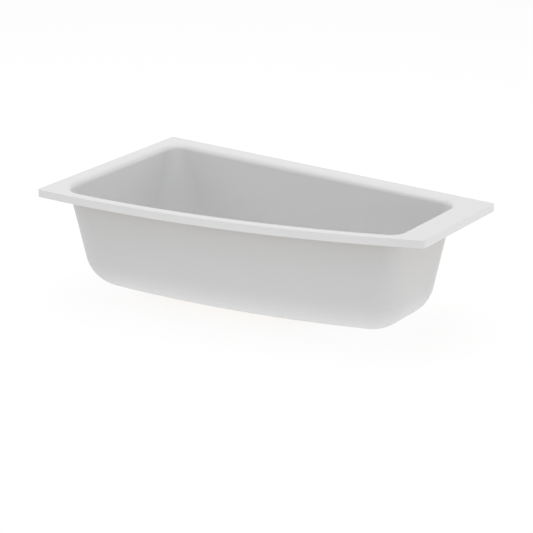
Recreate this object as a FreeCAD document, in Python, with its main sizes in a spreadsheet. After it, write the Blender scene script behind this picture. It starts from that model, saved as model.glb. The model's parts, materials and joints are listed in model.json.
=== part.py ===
import FreeCAD, Part
import math
import os
import Sketcher
from FreeCAD import Placement, Rotation, Vector

# Asymmetrical built-in bath with its leg set, waste, overflow and wall brackets.
# Frame: +X to the narrow end, +Y to the wall behind the bath, +Z up, origin on the ground at the middle.

doc = FreeCAD.newDocument("asymmetrical_bath")
sheet = doc.addObject("Spreadsheet::Sheet", "Sizes")

# Driving dimensions in millimetres; floor_fall is a ratio.
driving = {
    # rim; its corner radii are those inside the lip
    "bath_length": 1600,
    "wide_end": 900,
    "narrow_end": 540,
    "front_bulge": 85,
    "lip_drop": 32,
    "rim_sheet": 5,
    "rim_corner": 5,
    "rim_corner_right": 15,
    "rim_edge_round": 2,
    "inner_edge_round": 22,
    "under_rim_round": 16,
    # basin: shelf widths at the rim, drafts over draft_depth, plan radii of the corners
    "shelf_left": 67,
    "shelf_right": 116,
    "shelf_back": 74,
    "shelf_front": 50,
    "draft_depth": 450,
    "draft_left": 8,
    "draft_right": 29,
    "draft_back": 14,
    "draft_front": 6,
    "left_front_top": 96,
    "right_front_top": 60,
    "right_back_top": 64,
    "left_back_top": 60,
    "left_front_low": 255,
    "right_front_low": 203,
    "right_back_low": 243,
    "left_back_low": 220,
    "basin_depth": 434,
    "floor_fall": 0.024,
    "floor_round": 147,
    "wall_sheet": 6,
    # strengthening strips under the rim
    "strip_gap": 3,
    "strip_back_width": 40,
    "strip_left_width": 32,
    "strip_right_width": 78,
    "strip_front_width": 20,
    "strip_end_inset": 60,
    # board bonded under the floor, placed from the basin's wide end and back
    "board_thick": 12,
    "board_end": 188,
    "board_margin": 6,
    "board_back": 181,
    "board_wide": 375,
    "board_narrow": 265,
    # leg rails, folded as a hat section with toes against the board
    "wide_rail_inset": 263,
    "narrow_rail_inset": 534,
    "rail_back": 41,
    "rail_overhang": 28,
    "rail_height": 24,
    "rail_web": 30,
    "rail_toe": 14,
    "rail_sheet": 2,
    # adjustable feet
    "foot_inset": 25,
    "wide_foot_spacing": 360,
    "narrow_foot_spacing": 250,
    "stud_radius": 5,
    "thread_clearance": 0.1,
    "stud_top_gap": 1.5,
    "weld_nut_height": 8,
    "lock_nut_height": 5,
    "nut_circumradius": 9.8,
    "pad_radius": 18,
    "pad_height": 12,
    "pad_floor": 4,
    "pad_clearance": 0.5,
    "seat_clearance": 0.3,
    "foot_gap": 1.18,
    # screws
    "screw_radius": 2,
    "screw_bite": 10,
    "screw_head_radius": 4,
    "screw_head_height": 2.5,
    "screw_clearance": 0.1,
    "screw_inset": 45,
    # wall brackets
    "bracket_left_inset": 350,
    "bracket_right_inset": 470,
    "bracket_width": 40,
    "bracket_sheet": 2.5,
    "bracket_reach": 42,
    "bracket_drop": 62,
    "bracket_hole_radius": 4,
    "bracket_hole_first": 22,
    "bracket_hole_spacing": 24,
    # waste
    "drain_inset": 324,
    "drain_back": 226,
    "seat_radius": 40,
    "seat_drop": 4,
    "drain_hole_radius": 26,
    "seal_thick": 2,
    "body_seal_thick": 3,
    "flange_radius": 36,
    "flange_bore": 21,
    "flange_tube": 24,
    "flange_thick": 3,
    "flange_tube_drop": 16,
    "seat_ring_radius": 28,
    "seat_ring_drop": 1,
    "hub_radius": 7,
    "hub_height": 6,
    "spoke_width": 3,
    "body_radius": 32,
    "body_flange_radius": 38,
    "body_flange_thick": 4,
    "body_drop": 53,
    "body_wall": 4,
    "outlet_radius": 20,
    "outlet_wall": 2.5,
    "outlet_drop": 31,
    "slip_clearance": 0.1,
    # plug
    "plug_radius": 27,
    "plug_rise": 2.4,
    "plug_crown": 2,
    "plug_shoulder": 1.5,
    "plug_seal_radius": 26,
    "plug_seal_bore": 12,
    "plug_seal_thick": 1.5,
    "plug_gap": 0.05,
    "stem_radius": 3,
    "stem_drop": 36,
    "stem_clearance": 0.1,
    # overflow
    "overflow_inset": 184,
    "overflow_depth": 178,
    "overflow_hole_radius": 22,
    "overflow_tube": 20,
    "overflow_bore": 17,
    "overflow_tube_length": 18,
    "overflow_flange_radius": 33,
    "overflow_body_radius": 30,
    "overflow_body_flange": 34,
    "overflow_body_length": 46,
    "pipe_radius": 14,
    "pipe_bore": 11,
    "pipe_axis": 30,
    "pipe_bend": 60,
    "branch_reach": 60,
    "pipe_gap": 0.3,
    "slip_nut_radius": 19,
    "slip_nut_length": 26,
    "knob_radius": 34,
    "knob_front": 26,
    "knob_skirt": 9,
    "knob_wall": 3,
    "knob_boss": 9,
    "grip_length": 52,
    "grip_width": 9,
    "grip_height": 6,
    "shaft_radius": 4,
    "shaft_clearance": 0.05,
    "shaft_back": 37,
    "drum_radius": 16,
    "drum_length": 12,
    "drum_groove": 3,
    "cable_radius": 2.5,
    # trap
    "trap_spacing": 120,
    "trap_radius": 42,
    "trap_wall": 3,
    "trap_drop": 23.4,
    "trap_height": 46,
    "trap_outlet_reach": 150,
    "trap_outlet_root": 80,
    "trap_lid_thick": 4,
    "trap_lid_overlap": 2,
    "union_nut_radius": 26,
    "union_nut_length": 28,
    "union_gap": 0.5,
    "baffle_thick": 3,
    "baffle_offset": 15,
    "baffle_gap": 1,
    "baffle_drop": 34,
}


class Size:
    """A number together with the sheet expression that it comes from."""

    def __init__(self, value, text):
        self.value = value
        self.text = text

    def __add__(self, other):
        return Size(self.value + number(other), f"({self.text} + {formula(other)})")

    def __radd__(self, other):
        return Size(number(other) + self.value, f"({formula(other)} + {self.text})")

    def __sub__(self, other):
        return Size(self.value - number(other), f"({self.text} - {formula(other)})")

    def __rsub__(self, other):
        return Size(number(other) - self.value, f"({formula(other)} - {self.text})")

    def __mul__(self, other):
        return Size(self.value * number(other), f"({self.text} * {formula(other)})")

    def __rmul__(self, other):
        return Size(number(other) * self.value, f"({formula(other)} * {self.text})")

    def __truediv__(self, other):
        return Size(self.value / number(other), f"({self.text} / {formula(other)})")

    def __rtruediv__(self, other):
        return Size(number(other) / self.value, f"({formula(other)} / {self.text})")

    def __neg__(self):
        return Size(-self.value, f"(0 - {self.text})")


def number(term):
    return term.value if isinstance(term, Size) else float(term)


def formula(term):
    return term.text if isinstance(term, Size) else repr(float(term))


def root(term):
    return Size(math.sqrt(term.value), f"sqrt({term.text})")


class Sheet:
    """The sheet's aliases as attributes."""


s = Sheet()
for row, (alias, value) in enumerate(driving.items(), start=1):
    sheet.set(f"A{row}", alias.replace("_", " "))
    sheet.set(f"B{row}", str(value))
    sheet.setAlias(f"B{row}", alias)
doc.recompute()
for alias in driving:
    setattr(s, alias, Size(float(sheet.get(alias)), f"Sizes.{alias}"))

pieces = []


# General builders

def bind(item, **values):
    for name, value in values.items():
        if isinstance(value, Size):
            item.setExpression(name, value.text)
        else:
            setattr(item, name, value)


def at(x, y, z, turn=Rotation()):
    return Placement(Vector(number(x), number(y), number(z)), turn)


def piece(item, label):
    item.Label = label
    pieces.append(item)
    return item


def new_sketch(body, role):
    sketch = body.newObject("Sketcher::SketchObject", f"{body.Name}_sketch")
    plane = next(feature for feature in body.Origin.OriginFeatures if feature.Role == role)
    sketch.AttachmentSupport = [(plane, "")]
    sketch.MapMode = "FlatFace"
    return sketch


def pin_point(sketch, item, end, u, v):
    for kind, axis, value in (("DistanceX", -2, u), ("DistanceY", -1, v)):
        if not isinstance(value, Size) and value == 0:
            sketch.addConstraint(Sketcher.Constraint("PointOnObject", item, end, axis))
            continue
        index = sketch.addConstraint(Sketcher.Constraint(kind, -1, 1, item, end, number(value)))
        if isinstance(value, Size):
            sketch.setExpression(f"Constraints[{index}]", value.text)


def draw_polygon(sketch, corners):
    first = sketch.GeometryCount
    count = len(corners)
    points = [Vector(number(u), number(v), 0) for u, v in corners]
    for i in range(count):
        sketch.addGeometry(Part.LineSegment(points[i], points[(i + 1) % count]), False)
    for i in range(count):
        sketch.addConstraint(Sketcher.Constraint("Coincident", first + i, 2, first + (i + 1) % count, 1))
    for i, (u, v) in enumerate(corners):
        pin_point(sketch, first + i, 1, u, v)


def turned(name, profile, frame):
    body = doc.addObject("PartDesign::Body", name)
    sketch = new_sketch(body, "XZ_Plane")
    draw_polygon(sketch, profile)
    turn = body.newObject("PartDesign::Revolution", f"{name}_turn")
    turn.Profile = sketch
    turn.ReferenceAxis = (sketch, ["V_Axis"])
    turn.Angle = 360
    body.Placement = frame
    return body


def padded(name, role, corners, length, frame):
    body = doc.addObject("PartDesign::Body", name)
    sketch = new_sketch(body, role)
    draw_polygon(sketch, corners)
    pad = body.newObject("PartDesign::Pad", f"{name}_pad")
    pad.Profile = sketch
    bind(pad, Length=length)
    body.Placement = frame
    return body


def ring(name, bore, radius, low, high, frame):
    return turned(name, [(bore, low), (radius, low), (radius, high), (bore, high)], frame)


def cylinder(name, radius, height, frame):
    item = doc.addObject("Part::Cylinder", name)
    bind(item, Radius=radius, Height=height)
    item.Placement = frame
    return item


def box(name, length, width, height, frame):
    item = doc.addObject("Part::Box", name)
    bind(item, Length=length, Width=width, Height=height)
    item.Placement = frame
    return item


def hexagon(name, circumradius, height, frame):
    item = doc.addObject("Part::Prism", name)
    item.Polygon = 6
    bind(item, Circumradius=circumradius, Height=height)
    item.Placement = frame
    return item


def cut(name, base, tools):
    item = doc.addObject("Part::Cut", name)
    item.Base = base
    item.Tool = tools[0] if len(tools) == 1 else fuse(f"{name}_tools", tools)
    return item


def fuse(name, shapes):
    item = doc.addObject("Part::MultiFuse", name)
    item.Shapes = shapes
    return item


def group(name, members):
    item = doc.addObject("Part::Compound", name)
    item.Links = members
    return item


def computed(label, shape, frame=Placement()):
    item = doc.addObject("Part::Feature", label)
    item.Shape = shape
    item.Placement = frame
    return piece(item, label)


def vessel(label, profile, void, frame, branches):
    """Turned vessel with its inside, and tubes (radius, bore, length, axis) that open into it."""
    outside = [turned(f"{label}_outside", profile, frame)]
    inside = [turned(f"{label}_inside", void, frame)]
    for order, (radius, bore, length, axis) in enumerate(branches):
        outside.append(cylinder(f"{label}_tube_{order}", radius, length, axis))
        inside.append(cylinder(f"{label}_bore_{order}", bore, length + radius, axis))
    return piece(cut(label, fuse(f"{label}_blank", outside), inside), label)


along_x = Rotation(Vector(0, 1, 0), 90)
along_minus_x = Rotation(Vector(0, 1, 0), -90)
along_y = Rotation(Vector(1, 0, 0), -90)

# Places that several pieces share; two points closer than near are one point

near = 0.01
half_length = s.bath_length / 2
half_width = s.wide_end / 2
taper = s.wide_end - s.narrow_end
chord = root(s.bath_length * s.bath_length + taper * taper)
front_radius = chord * chord / (8 * s.front_bulge) + s.front_bulge / 2
front_x = -(taper / chord) * (front_radius - s.front_bulge)
front_y = (s.bath_length / chord) * (front_radius - s.front_bulge) - s.narrow_end / 2
wide_edge = s.shelf_left - half_length
narrow_edge = half_length - s.shelf_right
back_edge = half_width - s.shelf_back

# The floor stands on the lower feet: pad, gap, nuts, rail and board, plus the floor's fall up to there
wide_rail_x = wide_edge + s.wide_rail_inset
narrow_rail_x = narrow_edge - s.narrow_rail_inset
tilt_length = root(1 + s.floor_fall * s.floor_fall)
foot_stack = s.board_thick + s.rail_height + s.weld_nut_height + s.lock_nut_height
foot_fall = s.floor_fall * (narrow_rail_x + s.nut_circumradius)
floor_level = s.pad_height + s.foot_gap + (foot_stack + foot_fall) / tilt_length
rim_height = floor_level + s.basin_depth
lip_bottom = rim_height - s.lip_drop
strip_height = s.lip_drop - s.rim_sheet
strip_set = s.rim_sheet + s.strip_gap
tilt = Rotation(Vector(0, 1, 0), math.degrees(math.atan(s.floor_fall.value)))
floor_frame = at(0, 0, floor_level, tilt)


def on_floor(u, y, w):
    """Place in the sloping frame of the floor's underside."""
    return floor_frame * at(u, y, w)


# Tub shell: flat rim with a turned-down lip, walls on straight rulings, rounded floor

def mix(a, b, share):
    return a + (b - a) * share


class Outline:
    """Left, back and right lines and a bowed front, joined by four tangent corner arcs."""

    def __init__(self, left, right, back, centre, radius, corners):
        self.left = left
        self.right = right
        self.back = back
        self.centre = centre
        self.radius = radius
        self.corners = corners

    def between(self, other, share, inset):
        centre = tuple(mix(a, b, share) for a, b in zip(self.centre, other.centre))
        corners = [mix(a, b, share) - inset for a, b in zip(self.corners, other.corners)]
        return Outline(mix(self.left, other.left, share) + inset,
                       mix(self.right, other.right, share) - inset,
                       mix(self.back, other.back, share) - inset, centre,
                       mix(self.radius, other.radius, share) - inset, corners)

    def wire(self, z, first, last):
        """Wire at height z; the front arc spans the directions first to last, measured from -Y."""
        left_front, right_front, right_back, left_back = self.corners
        centres = [
            self.spot(self.centre, self.radius - left_front, first),
            self.spot(self.centre, self.radius - right_front, last),
            (self.right - right_back, self.back - right_back),
            (self.left + left_back, self.back - left_back),
        ]
        quarter = math.pi / 2
        arcs = [
            (centres[0], left_front, -quarter, first),
            (self.centre, self.radius, first, last),
            (centres[1], right_front, last, quarter),
            (centres[2], right_back, quarter, 2 * quarter),
            (centres[3], left_back, 2 * quarter, 3 * quarter),
        ]
        edges = []
        for middle, radius, start, stop in arcs:
            angles = (start, (start + stop) / 2, stop)
            ends = [Vector(*self.spot(middle, radius, angle), z) for angle in angles]
            last_end = edges[-1].lastVertex().Point if edges else ends[0]
            if (last_end - ends[0]).Length > near:
                edges.append(Part.LineSegment(last_end, ends[0]).toShape())
            edges.append(Part.Arc(*ends).toShape())
        closing = Part.LineSegment(edges[-1].lastVertex().Point, edges[0].firstVertex().Point)
        return Part.Wire(edges + [closing.toShape()])

    @staticmethod
    def spot(middle, radius, angle):
        return (middle[0] + radius * math.sin(angle), middle[1] - radius * math.cos(angle))


def basin_outlines():
    """The basin's outer outlines at the rim and at draft_depth, and the front arc's span."""
    centre = (front_x.value, front_y.value)
    tops = (s.left_front_top, s.right_front_top, s.right_back_top, s.left_back_top)
    lows = (s.left_front_low, s.right_front_low, s.right_back_low, s.left_back_low)
    top_corners = [corner.value for corner in tops]
    low_corners = [corner.value for corner in lows]
    radius = (front_radius - s.shelf_front).value
    left = wide_edge.value
    right = narrow_edge.value
    back = back_edge.value
    first = math.asin((left + top_corners[0] - centre[0]) / (radius - top_corners[0]))
    last = math.asin((right - top_corners[1] - centre[0]) / (radius - top_corners[1]))
    top = Outline(left, right, back, centre, radius, top_corners)

    low_left = left + s.draft_left.value
    low_right = right - s.draft_right.value
    rise = math.sin(last) - math.sin(first)
    corner_share = low_corners[1] * (1 - math.sin(last)) + low_corners[0] * (1 + math.sin(first))
    low_radius = (low_right - low_left - corner_share) / rise
    low_x = low_left + low_corners[0] - (low_radius - low_corners[0]) * math.sin(first)
    middle = (first + last) / 2
    shift = low_radius - radius + s.draft_front.value + (low_x - centre[0]) * math.sin(middle)
    low_y = centre[1] + shift / math.cos(middle)
    low_back = back - s.draft_back.value
    low = Outline(low_left, low_right, low_back, (low_x, low_y), low_radius, low_corners)
    return top, low, first, last


def basin_solid(inset, rise, above):
    """Solid of the basin, inset from its outer skin, from above the rim down to its rounded floor."""
    top, low, first, last = basin_outlines()
    below = (s.basin_depth + s.floor_fall * half_length).value
    wires = []
    for depth in (-above, below):
        outline = top.between(low, depth / s.draft_depth.value, inset)
        wires.append(outline.wire(rim_height.value - depth, first, last))
    solid = Part.makeLoft(wires, True, True)
    reach = 2 * s.bath_length.value
    under = Part.makeBox(reach, reach, reach)
    under.Placement = floor_frame * at(-reach / 2, -reach / 2, rise - reach)
    solid = solid.cut(under)
    flat = under.Placement.inverse()
    edges = [edge for edge in solid.Edges
             if all(abs(flat.multVec(vertex.Point).z - reach) < near for vertex in edge.Vertexes)]
    return solid.makeFillet(s.floor_round.value - inset, edges)


def rim_face(inset, z):
    """Flat rim outline with its bowed front, inset from the outer edge, at height z."""
    left = inset - half_length.value
    right = half_length.value - inset
    back = half_width.value - inset
    radius = front_radius.value - inset
    centre = Vector(front_x.value, front_y.value, z)

    def front(x):
        return Vector(x, centre.y - math.sqrt(radius ** 2 - (x - centre.x) ** 2), z)

    corners = [front(left), front(right), Vector(right, back, z), Vector(left, back, z)]
    edges = [Part.Arc(corners[0], front((left + right) / 2), corners[1]).toShape()]
    edges += [Part.LineSegment(corners[i], corners[(i + 1) % 4]).toShape() for i in (1, 2, 3)]
    return Part.Face(Part.Wire(edges))


def upright_edges(block):
    """Corner edges of an upright block, with the front right one last."""
    found = [edge for edge in block.Edges if edge.BoundBox.ZLength > near]
    return sorted(found, key=lambda edge: edge.Vertexes[0].X - edge.Vertexes[0].Y)


def rim_block(inset, height):
    """Upright block from the lip's bottom edge, inset from the rim's outer edge, with round corners."""
    block = rim_face(inset, lip_bottom.value).extrude(Vector(0, 0, height))
    outward = s.rim_sheet.value - inset
    block = block.makeFillet(s.rim_corner.value + outward, upright_edges(block)[:-1])
    return block.makeFillet(s.rim_corner_right.value + outward, upright_edges(block)[-1:])


def level_edges(solid, z, keep):
    found = []
    for edge in solid.Edges:
        extent = edge.BoundBox
        if abs(extent.ZMin - z) < near and abs(extent.ZMax - z) < near and keep(edge):
            found.append(edge)
    return found


def inside_rim(edge):
    """True for an edge that lies well inside the rim's outer edge."""
    middle = edge.valueAt((edge.FirstParameter + edge.LastParameter) / 2)
    ends = half_length.value - s.shelf_left.value / 2
    reach = math.hypot(middle.x - front_x.value, middle.y - front_y.value)
    return (abs(middle.x) < ends and middle.y < half_width.value - s.shelf_back.value / 2
            and reach < front_radius.value - s.shelf_front.value / 2)


def tub_shape():
    rim_top = rim_height.value
    rim = rim_block(0, s.lip_drop.value)
    rim = rim.makeFillet(s.rim_edge_round.value, level_edges(rim, rim_top, lambda edge: True))
    hollow = rim_block(s.rim_sheet.value, strip_height.value)
    shell = rim.cut(hollow).fuse(basin_solid(0, 0, 0)).removeSplitter()
    under_rim = level_edges(shell, rim_top - s.rim_sheet.value, inside_rim)
    shell = shell.makeFillet(s.under_rim_round.value, under_rim)
    sheet_thick = s.wall_sheet.value
    shell = shell.cut(basin_solid(sheet_thick, sheet_thick, s.rim_sheet.value))
    mouth = level_edges(shell, rim_top, inside_rim)
    shell = shell.makeFillet(s.inner_edge_round.value, mouth)

    # level seat for the waste, and the two holes
    seat = drain_frame.Base
    through = 2 * sheet_thick
    boss_foot = seat - Vector(0, 0, sheet_thick)
    boss_height = sheet_thick + s.seat_drop.value / 2
    boss = Part.makeCylinder(s.seat_radius.value + sheet_thick, boss_height, boss_foot)
    well = Part.makeCylinder(s.seat_radius.value, s.seat_drop.value + sheet_thick, seat)
    hole = Part.makeCylinder(s.drain_hole_radius.value, 2 * through, seat - Vector(0, 0, through))
    shell = shell.fuse(boss).cut(well).cut(hole)
    overflow = Part.makeCylinder(s.overflow_hole_radius.value, 2 * through)
    overflow.Placement = overflow_frame * at(0, 0, -through)
    return shell.cut(overflow)


# Waste seat: level place in the floor, heights of the waste are measured from it
drain_x = narrow_edge - s.drain_inset
drain_y = back_edge - s.drain_back
seat_level = floor_level + s.wall_sheet * tilt_length - s.floor_fall * drain_x - s.seat_drop
drain_frame = at(drain_x, drain_y, seat_level)

# Overflow place: on the inner back wall, local +Z into the basin, local +Y up the wall
wall_lean = s.draft_back / s.draft_depth
lean_length = root(1 + wall_lean * wall_lean)
overflow_x = narrow_edge - s.overflow_inset
overflow_y = back_edge - s.wall_sheet - wall_lean * s.overflow_depth
overflow_z = rim_height - s.overflow_depth
wall_normal = Vector(0, -1, wall_lean.value)
overflow_frame = at(overflow_x, overflow_y, overflow_z, Rotation(Vector(0, 0, 1), wall_normal))
wall_through = s.wall_sheet / lean_length

computed("tub_shell", tub_shape())


# Strengthening strips under the rim

strip_level = lip_bottom
back_length = s.bath_length - 2 * s.strip_end_inset
back_strip_y = half_width - strip_set - s.strip_back_width
back_strip = box("back_strip_blank", back_length, s.strip_back_width, strip_height,
                 at(s.strip_end_inset - half_length, back_strip_y, strip_level))
side_clear = strip_set + s.strip_back_width + s.strip_gap
left_length = s.wide_end - side_clear - s.strip_end_inset
piece(box("rim_strip_left", s.strip_left_width, left_length, strip_height,
          at(strip_set - half_length, s.strip_end_inset - half_width, strip_level)), "rim_strip_left")
right_length = s.narrow_end - side_clear - s.strip_end_inset
right_strip_x = half_length - strip_set - s.strip_right_width
right_strip_y = half_width - s.narrow_end + s.strip_end_inset
piece(box("rim_strip_right", s.strip_right_width, right_length, strip_height,
          at(right_strip_x, right_strip_y, strip_level)), "rim_strip_right")

bow = at(front_x, front_y, strip_level)
strip_radius = front_radius - strip_set
strip_outer = cylinder("front_strip_outer", strip_radius, strip_height, bow)
strip_inner = cylinder("front_strip_inner", strip_radius - s.strip_front_width, strip_height, bow)
front_ring = cut("front_strip_ring", strip_outer, [strip_inner])
front_left = strip_set + s.strip_left_width + s.strip_gap
front_right = strip_set + s.strip_right_width + s.strip_gap
front_length = s.bath_length - front_left - front_right
front_window = box("front_strip_window", front_length, s.wide_end + half_width, strip_height,
                   at(front_left - half_length, -s.wide_end, strip_level))
front_strip = doc.addObject("Part::Common", "rim_strip_front")
front_strip.Base = front_ring
front_strip.Tool = front_window
piece(front_strip, "rim_strip_front")


# Board under the floor and the two leg rails

rail_end = back_edge - s.rail_back
foot_back = rail_end - s.foot_inset
rails = {
    "wide": (wide_rail_x, foot_back - s.wide_foot_spacing),
    "narrow": (narrow_rail_x, foot_back - s.narrow_foot_spacing),
}
rail_half = s.rail_web / 2 + s.rail_toe
board_left = wide_edge + s.board_end
board_right = narrow_rail_x + rail_half + s.board_margin
board_back = back_edge - s.board_back
board_corners = [
    (board_left, board_back),
    (board_left, board_back - s.board_wide),
    (board_right, board_back - s.board_narrow),
    (board_right, board_back),
]
board_frame = on_floor(0, 0, -s.board_thick)
board = padded("base_board_blank", "XY_Plane", board_corners, s.board_thick, board_frame)

pilots = []
rail_screws = []
rail_level = -s.board_thick - s.rail_height
screw_level = -s.board_thick - s.rail_sheet
toe_middle = s.rail_web / 2 + s.rail_toe / 2


def screw(name, frame):
    """Screw with its head below the sheet that it holds; local +Z is the way it is driven."""
    shank = s.screw_bite + s.rail_sheet
    head = cylinder(f"{name}_head", s.screw_head_radius, s.screw_head_height,
                    frame * at(0, 0, -s.screw_head_height))
    return fuse(name, [head, cylinder(f"{name}_shank", s.screw_radius, shank, frame)])


def pilot(name, frame):
    depth = s.screw_bite + s.rail_sheet + s.screw_clearance
    return cylinder(name, s.screw_radius + s.screw_clearance, depth, frame)


for end, (rail_x, foot_front) in rails.items():
    low = -s.rail_height
    web = s.rail_web / 2
    inner = web - s.rail_sheet
    profile = [
        (-rail_half, 0), (-inner, 0), (-inner, low + s.rail_sheet), (inner, low + s.rail_sheet),
        (inner, 0), (rail_half, 0), (rail_half, -s.rail_sheet), (web, -s.rail_sheet),
        (web, low), (-web, low), (-web, -s.rail_sheet), (-rail_half, -s.rail_sheet),
    ]
    rail_front = foot_front - s.rail_overhang
    blank = padded(f"leg_rail_{end}_blank", "XZ_Plane", profile, rail_end - rail_front,
                   on_floor(rail_x, rail_end, -s.board_thick))
    holes = []
    for spot, foot_y in (("front", foot_front), ("back", foot_back)):
        place = on_floor(rail_x, foot_y, rail_level - s.rail_sheet)
        hole_radius = s.stud_radius + s.pad_clearance
        holes.append(cylinder(f"stud_hole_{end}_{spot}", hole_radius, 3 * s.rail_sheet, place))
    for spot, screw_y in (("front", rail_front + s.screw_inset), ("back", board_back - s.screw_inset)):
        for side, offset in (("left", -toe_middle), ("right", toe_middle)):
            place = on_floor(rail_x + offset, screw_y, screw_level)
            name = f"{end}_{spot}_{side}"
            rail_screws.append(screw(f"rail_screw_{name}", place))
            holes.append(pilot(f"rail_hole_{name}", place * at(0, 0, -s.screw_clearance)))
            pilots.append(pilot(f"board_hole_{name}", place))
    piece(cut(f"leg_rail_{end}", blank, holes), f"leg_rail_{end}")

piece(cut("base_board", board, pilots), "base_board")
piece(group("rail_screws", rail_screws), "rail_screws")


# Adjustable feet: stud in a welded nut under each rail end, lock nut, pad on the ground

def nut(name, height, frame):
    blank = hexagon(f"{name}_blank", s.nut_circumradius, height, frame)
    bore = cylinder(f"{name}_bore", s.stud_radius + s.thread_clearance, height, frame)
    return cut(name, blank, [bore])


weld_nuts = []
lock_nuts = []
for end, (rail_x, foot_front) in rails.items():
    for spot, foot_y in (("front", foot_front), ("back", foot_back)):
        name = f"{end}_{spot}"
        weld_place = on_floor(rail_x, foot_y, rail_level - s.weld_nut_height)
        lock_place = weld_place * at(0, 0, -s.lock_nut_height)
        weld_nuts.append(nut(f"weld_nut_{name}", s.weld_nut_height, weld_place))
        lock_nuts.append(nut(f"lock_nut_{name}", s.lock_nut_height, lock_place))
        # the stud's lower end stands just above the floor of the pad's socket
        toe_height = s.pad_floor + s.seat_clearance
        stud_low = (toe_height - floor_level) * tilt_length + rail_x * s.floor_fall
        stud_top = -s.board_thick - s.stud_top_gap
        stud_place = on_floor(rail_x, foot_y, stud_low)
        piece(cylinder(f"foot_stud_{name}", s.stud_radius, stud_top - stud_low, stud_place),
              f"foot_stud_{name}")
        socket = s.stud_radius + s.pad_clearance
        pad_profile = [
            (0, 0), (s.pad_radius, 0), (s.pad_radius, s.pad_floor), (socket + s.pad_floor, s.pad_height),
            (socket, s.pad_height), (socket, s.pad_floor), (0, s.pad_floor),
        ]
        pad_place = at(stud_place.Base.x, stud_place.Base.y, 0)
        piece(turned(f"foot_pad_{name}", pad_profile, pad_place), f"foot_pad_{name}")
piece(group("foot_weld_nuts", weld_nuts), "foot_weld_nuts")
piece(group("foot_lock_nuts", lock_nuts), "foot_lock_nuts")


# Wall brackets under the back lip, screwed up into the back strip

strip_pilots = []
bracket_screws = []
bracket_profile = [
    (0, 0), (0, -s.bracket_drop), (-s.bracket_sheet, -s.bracket_drop), (-s.bracket_sheet, -s.bracket_sheet),
    (-s.bracket_reach, -s.bracket_sheet), (-s.bracket_reach, 0),
]
bracket_spots = {
    "left": s.bracket_left_inset - half_length,
    "right": half_length - s.bracket_right_inset,
}
for side, bracket_x in bracket_spots.items():
    blank = padded(f"wall_bracket_{side}_blank", "YZ_Plane", bracket_profile, s.bracket_width,
                   at(bracket_x - s.bracket_width / 2, half_width, lip_bottom))
    holes = []
    for order in range(2):
        hole_z = lip_bottom - s.bracket_hole_first - order * s.bracket_hole_spacing
        holes.append(cylinder(f"wall_hole_{side}_{order}", s.bracket_hole_radius, 3 * s.bracket_sheet,
                              at(bracket_x, half_width - 2 * s.bracket_sheet, hole_z, along_y)))
    for order, offset in enumerate((-s.bracket_width / 4, s.bracket_width / 4)):
        place = at(bracket_x + offset, half_width - s.bracket_reach / 2, lip_bottom - s.bracket_sheet)
        bracket_screws.append(screw(f"bracket_screw_{side}_{order}", place))
        holes.append(pilot(f"bracket_hole_{side}_{order}", place * at(0, 0, -s.screw_clearance)))
        strip_pilots.append(pilot(f"strip_hole_{side}_{order}", place))
    piece(cut(f"wall_bracket_{side}", blank, holes), f"wall_bracket_{side}")
piece(group("bracket_screws", bracket_screws), "bracket_screws")
piece(cut("rim_strip_back", back_strip, strip_pilots), "rim_strip_back")


# Waste: flange in the floor, plug, and the body clamped underneath

def spider(name, bore, hub_bore, low, frame):
    """Hub held by three spokes across a bore."""
    parts = [ring(f"{name}_hub", hub_bore, s.hub_radius, low, low + s.hub_height, frame)]
    reach = bore - hub_bore - s.spoke_width / 2
    for order in range(3):
        turn = at(0, 0, 0, Rotation(Vector(0, 0, 1), 120 * order))
        inner = hub_bore + s.spoke_width / 2
        spoke = box(f"{name}_spoke_{order}", reach + s.spoke_width / 2, s.spoke_width, s.hub_height,
                    frame * turn * at(inner, -s.spoke_width / 2, low))
        parts.append(spoke)
    return parts


flange_low = s.seal_thick
flange_high = flange_low + s.flange_thick
seat_ring = flange_high - s.seat_ring_drop
flange_profile = [
    (s.flange_bore, -s.flange_tube_drop), (s.flange_tube, -s.flange_tube_drop), (s.flange_tube, flange_low),
    (s.flange_radius, flange_low), (s.flange_radius, flange_low + s.flange_thick / 2),
    (s.flange_radius - s.flange_thick, flange_high), (s.seat_ring_radius, flange_high),
    (s.seat_ring_radius, seat_ring), (s.flange_bore, seat_ring),
]
flange_turn = turned("drain_flange_turn", flange_profile, drain_frame)
spider_low = -s.flange_tube_drop + s.spoke_width
stem_bore = s.stem_radius + s.stem_clearance
drain_spider = spider("drain_spider", s.flange_bore, stem_bore, spider_low, drain_frame)
piece(fuse("drain_flange", [flange_turn] + drain_spider), "drain_flange")

seal_radius = s.flange_radius - s.flange_thick
piece(ring("flange_seal", s.drain_hole_radius, seal_radius, 0, flange_low, drain_frame), "flange_seal")
body_top = -s.wall_sheet - s.body_seal_thick
piece(ring("body_seal", s.drain_hole_radius, s.body_flange_radius, body_top, -s.wall_sheet, drain_frame),
      "body_seal")

thread_bore = s.flange_tube + s.slip_clearance
chamber = s.body_radius - s.body_wall
body_low = -s.body_drop
chamber_top = -s.flange_tube_drop - s.seat_clearance
body_profile = [
    (0, body_low), (s.body_radius, body_low), (s.body_radius, body_top - s.body_flange_thick),
    (s.body_flange_radius, body_top - s.body_flange_thick), (s.body_flange_radius, body_top), (0, body_top),
]
body_void = [
    (0, body_low + s.body_wall), (chamber, body_low + s.body_wall), (chamber, chamber_top),
    (thread_bore, chamber_top), (thread_bore, body_top + s.wall_sheet), (0, body_top + s.wall_sheet),
]
trap_x = drain_x - s.trap_spacing
lid_radius = s.trap_radius + s.trap_lid_overlap
union_middle = trap_x + lid_radius + s.union_gap + s.union_nut_length / 2
outlet_length = drain_x - union_middle
outlet_bore = s.outlet_radius - s.outlet_wall
outlet_axis = drain_frame * at(0, 0, -s.outlet_drop, along_minus_x)
inlet_axis = drain_frame * at(0, 0, -s.outlet_drop, along_y)
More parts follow.
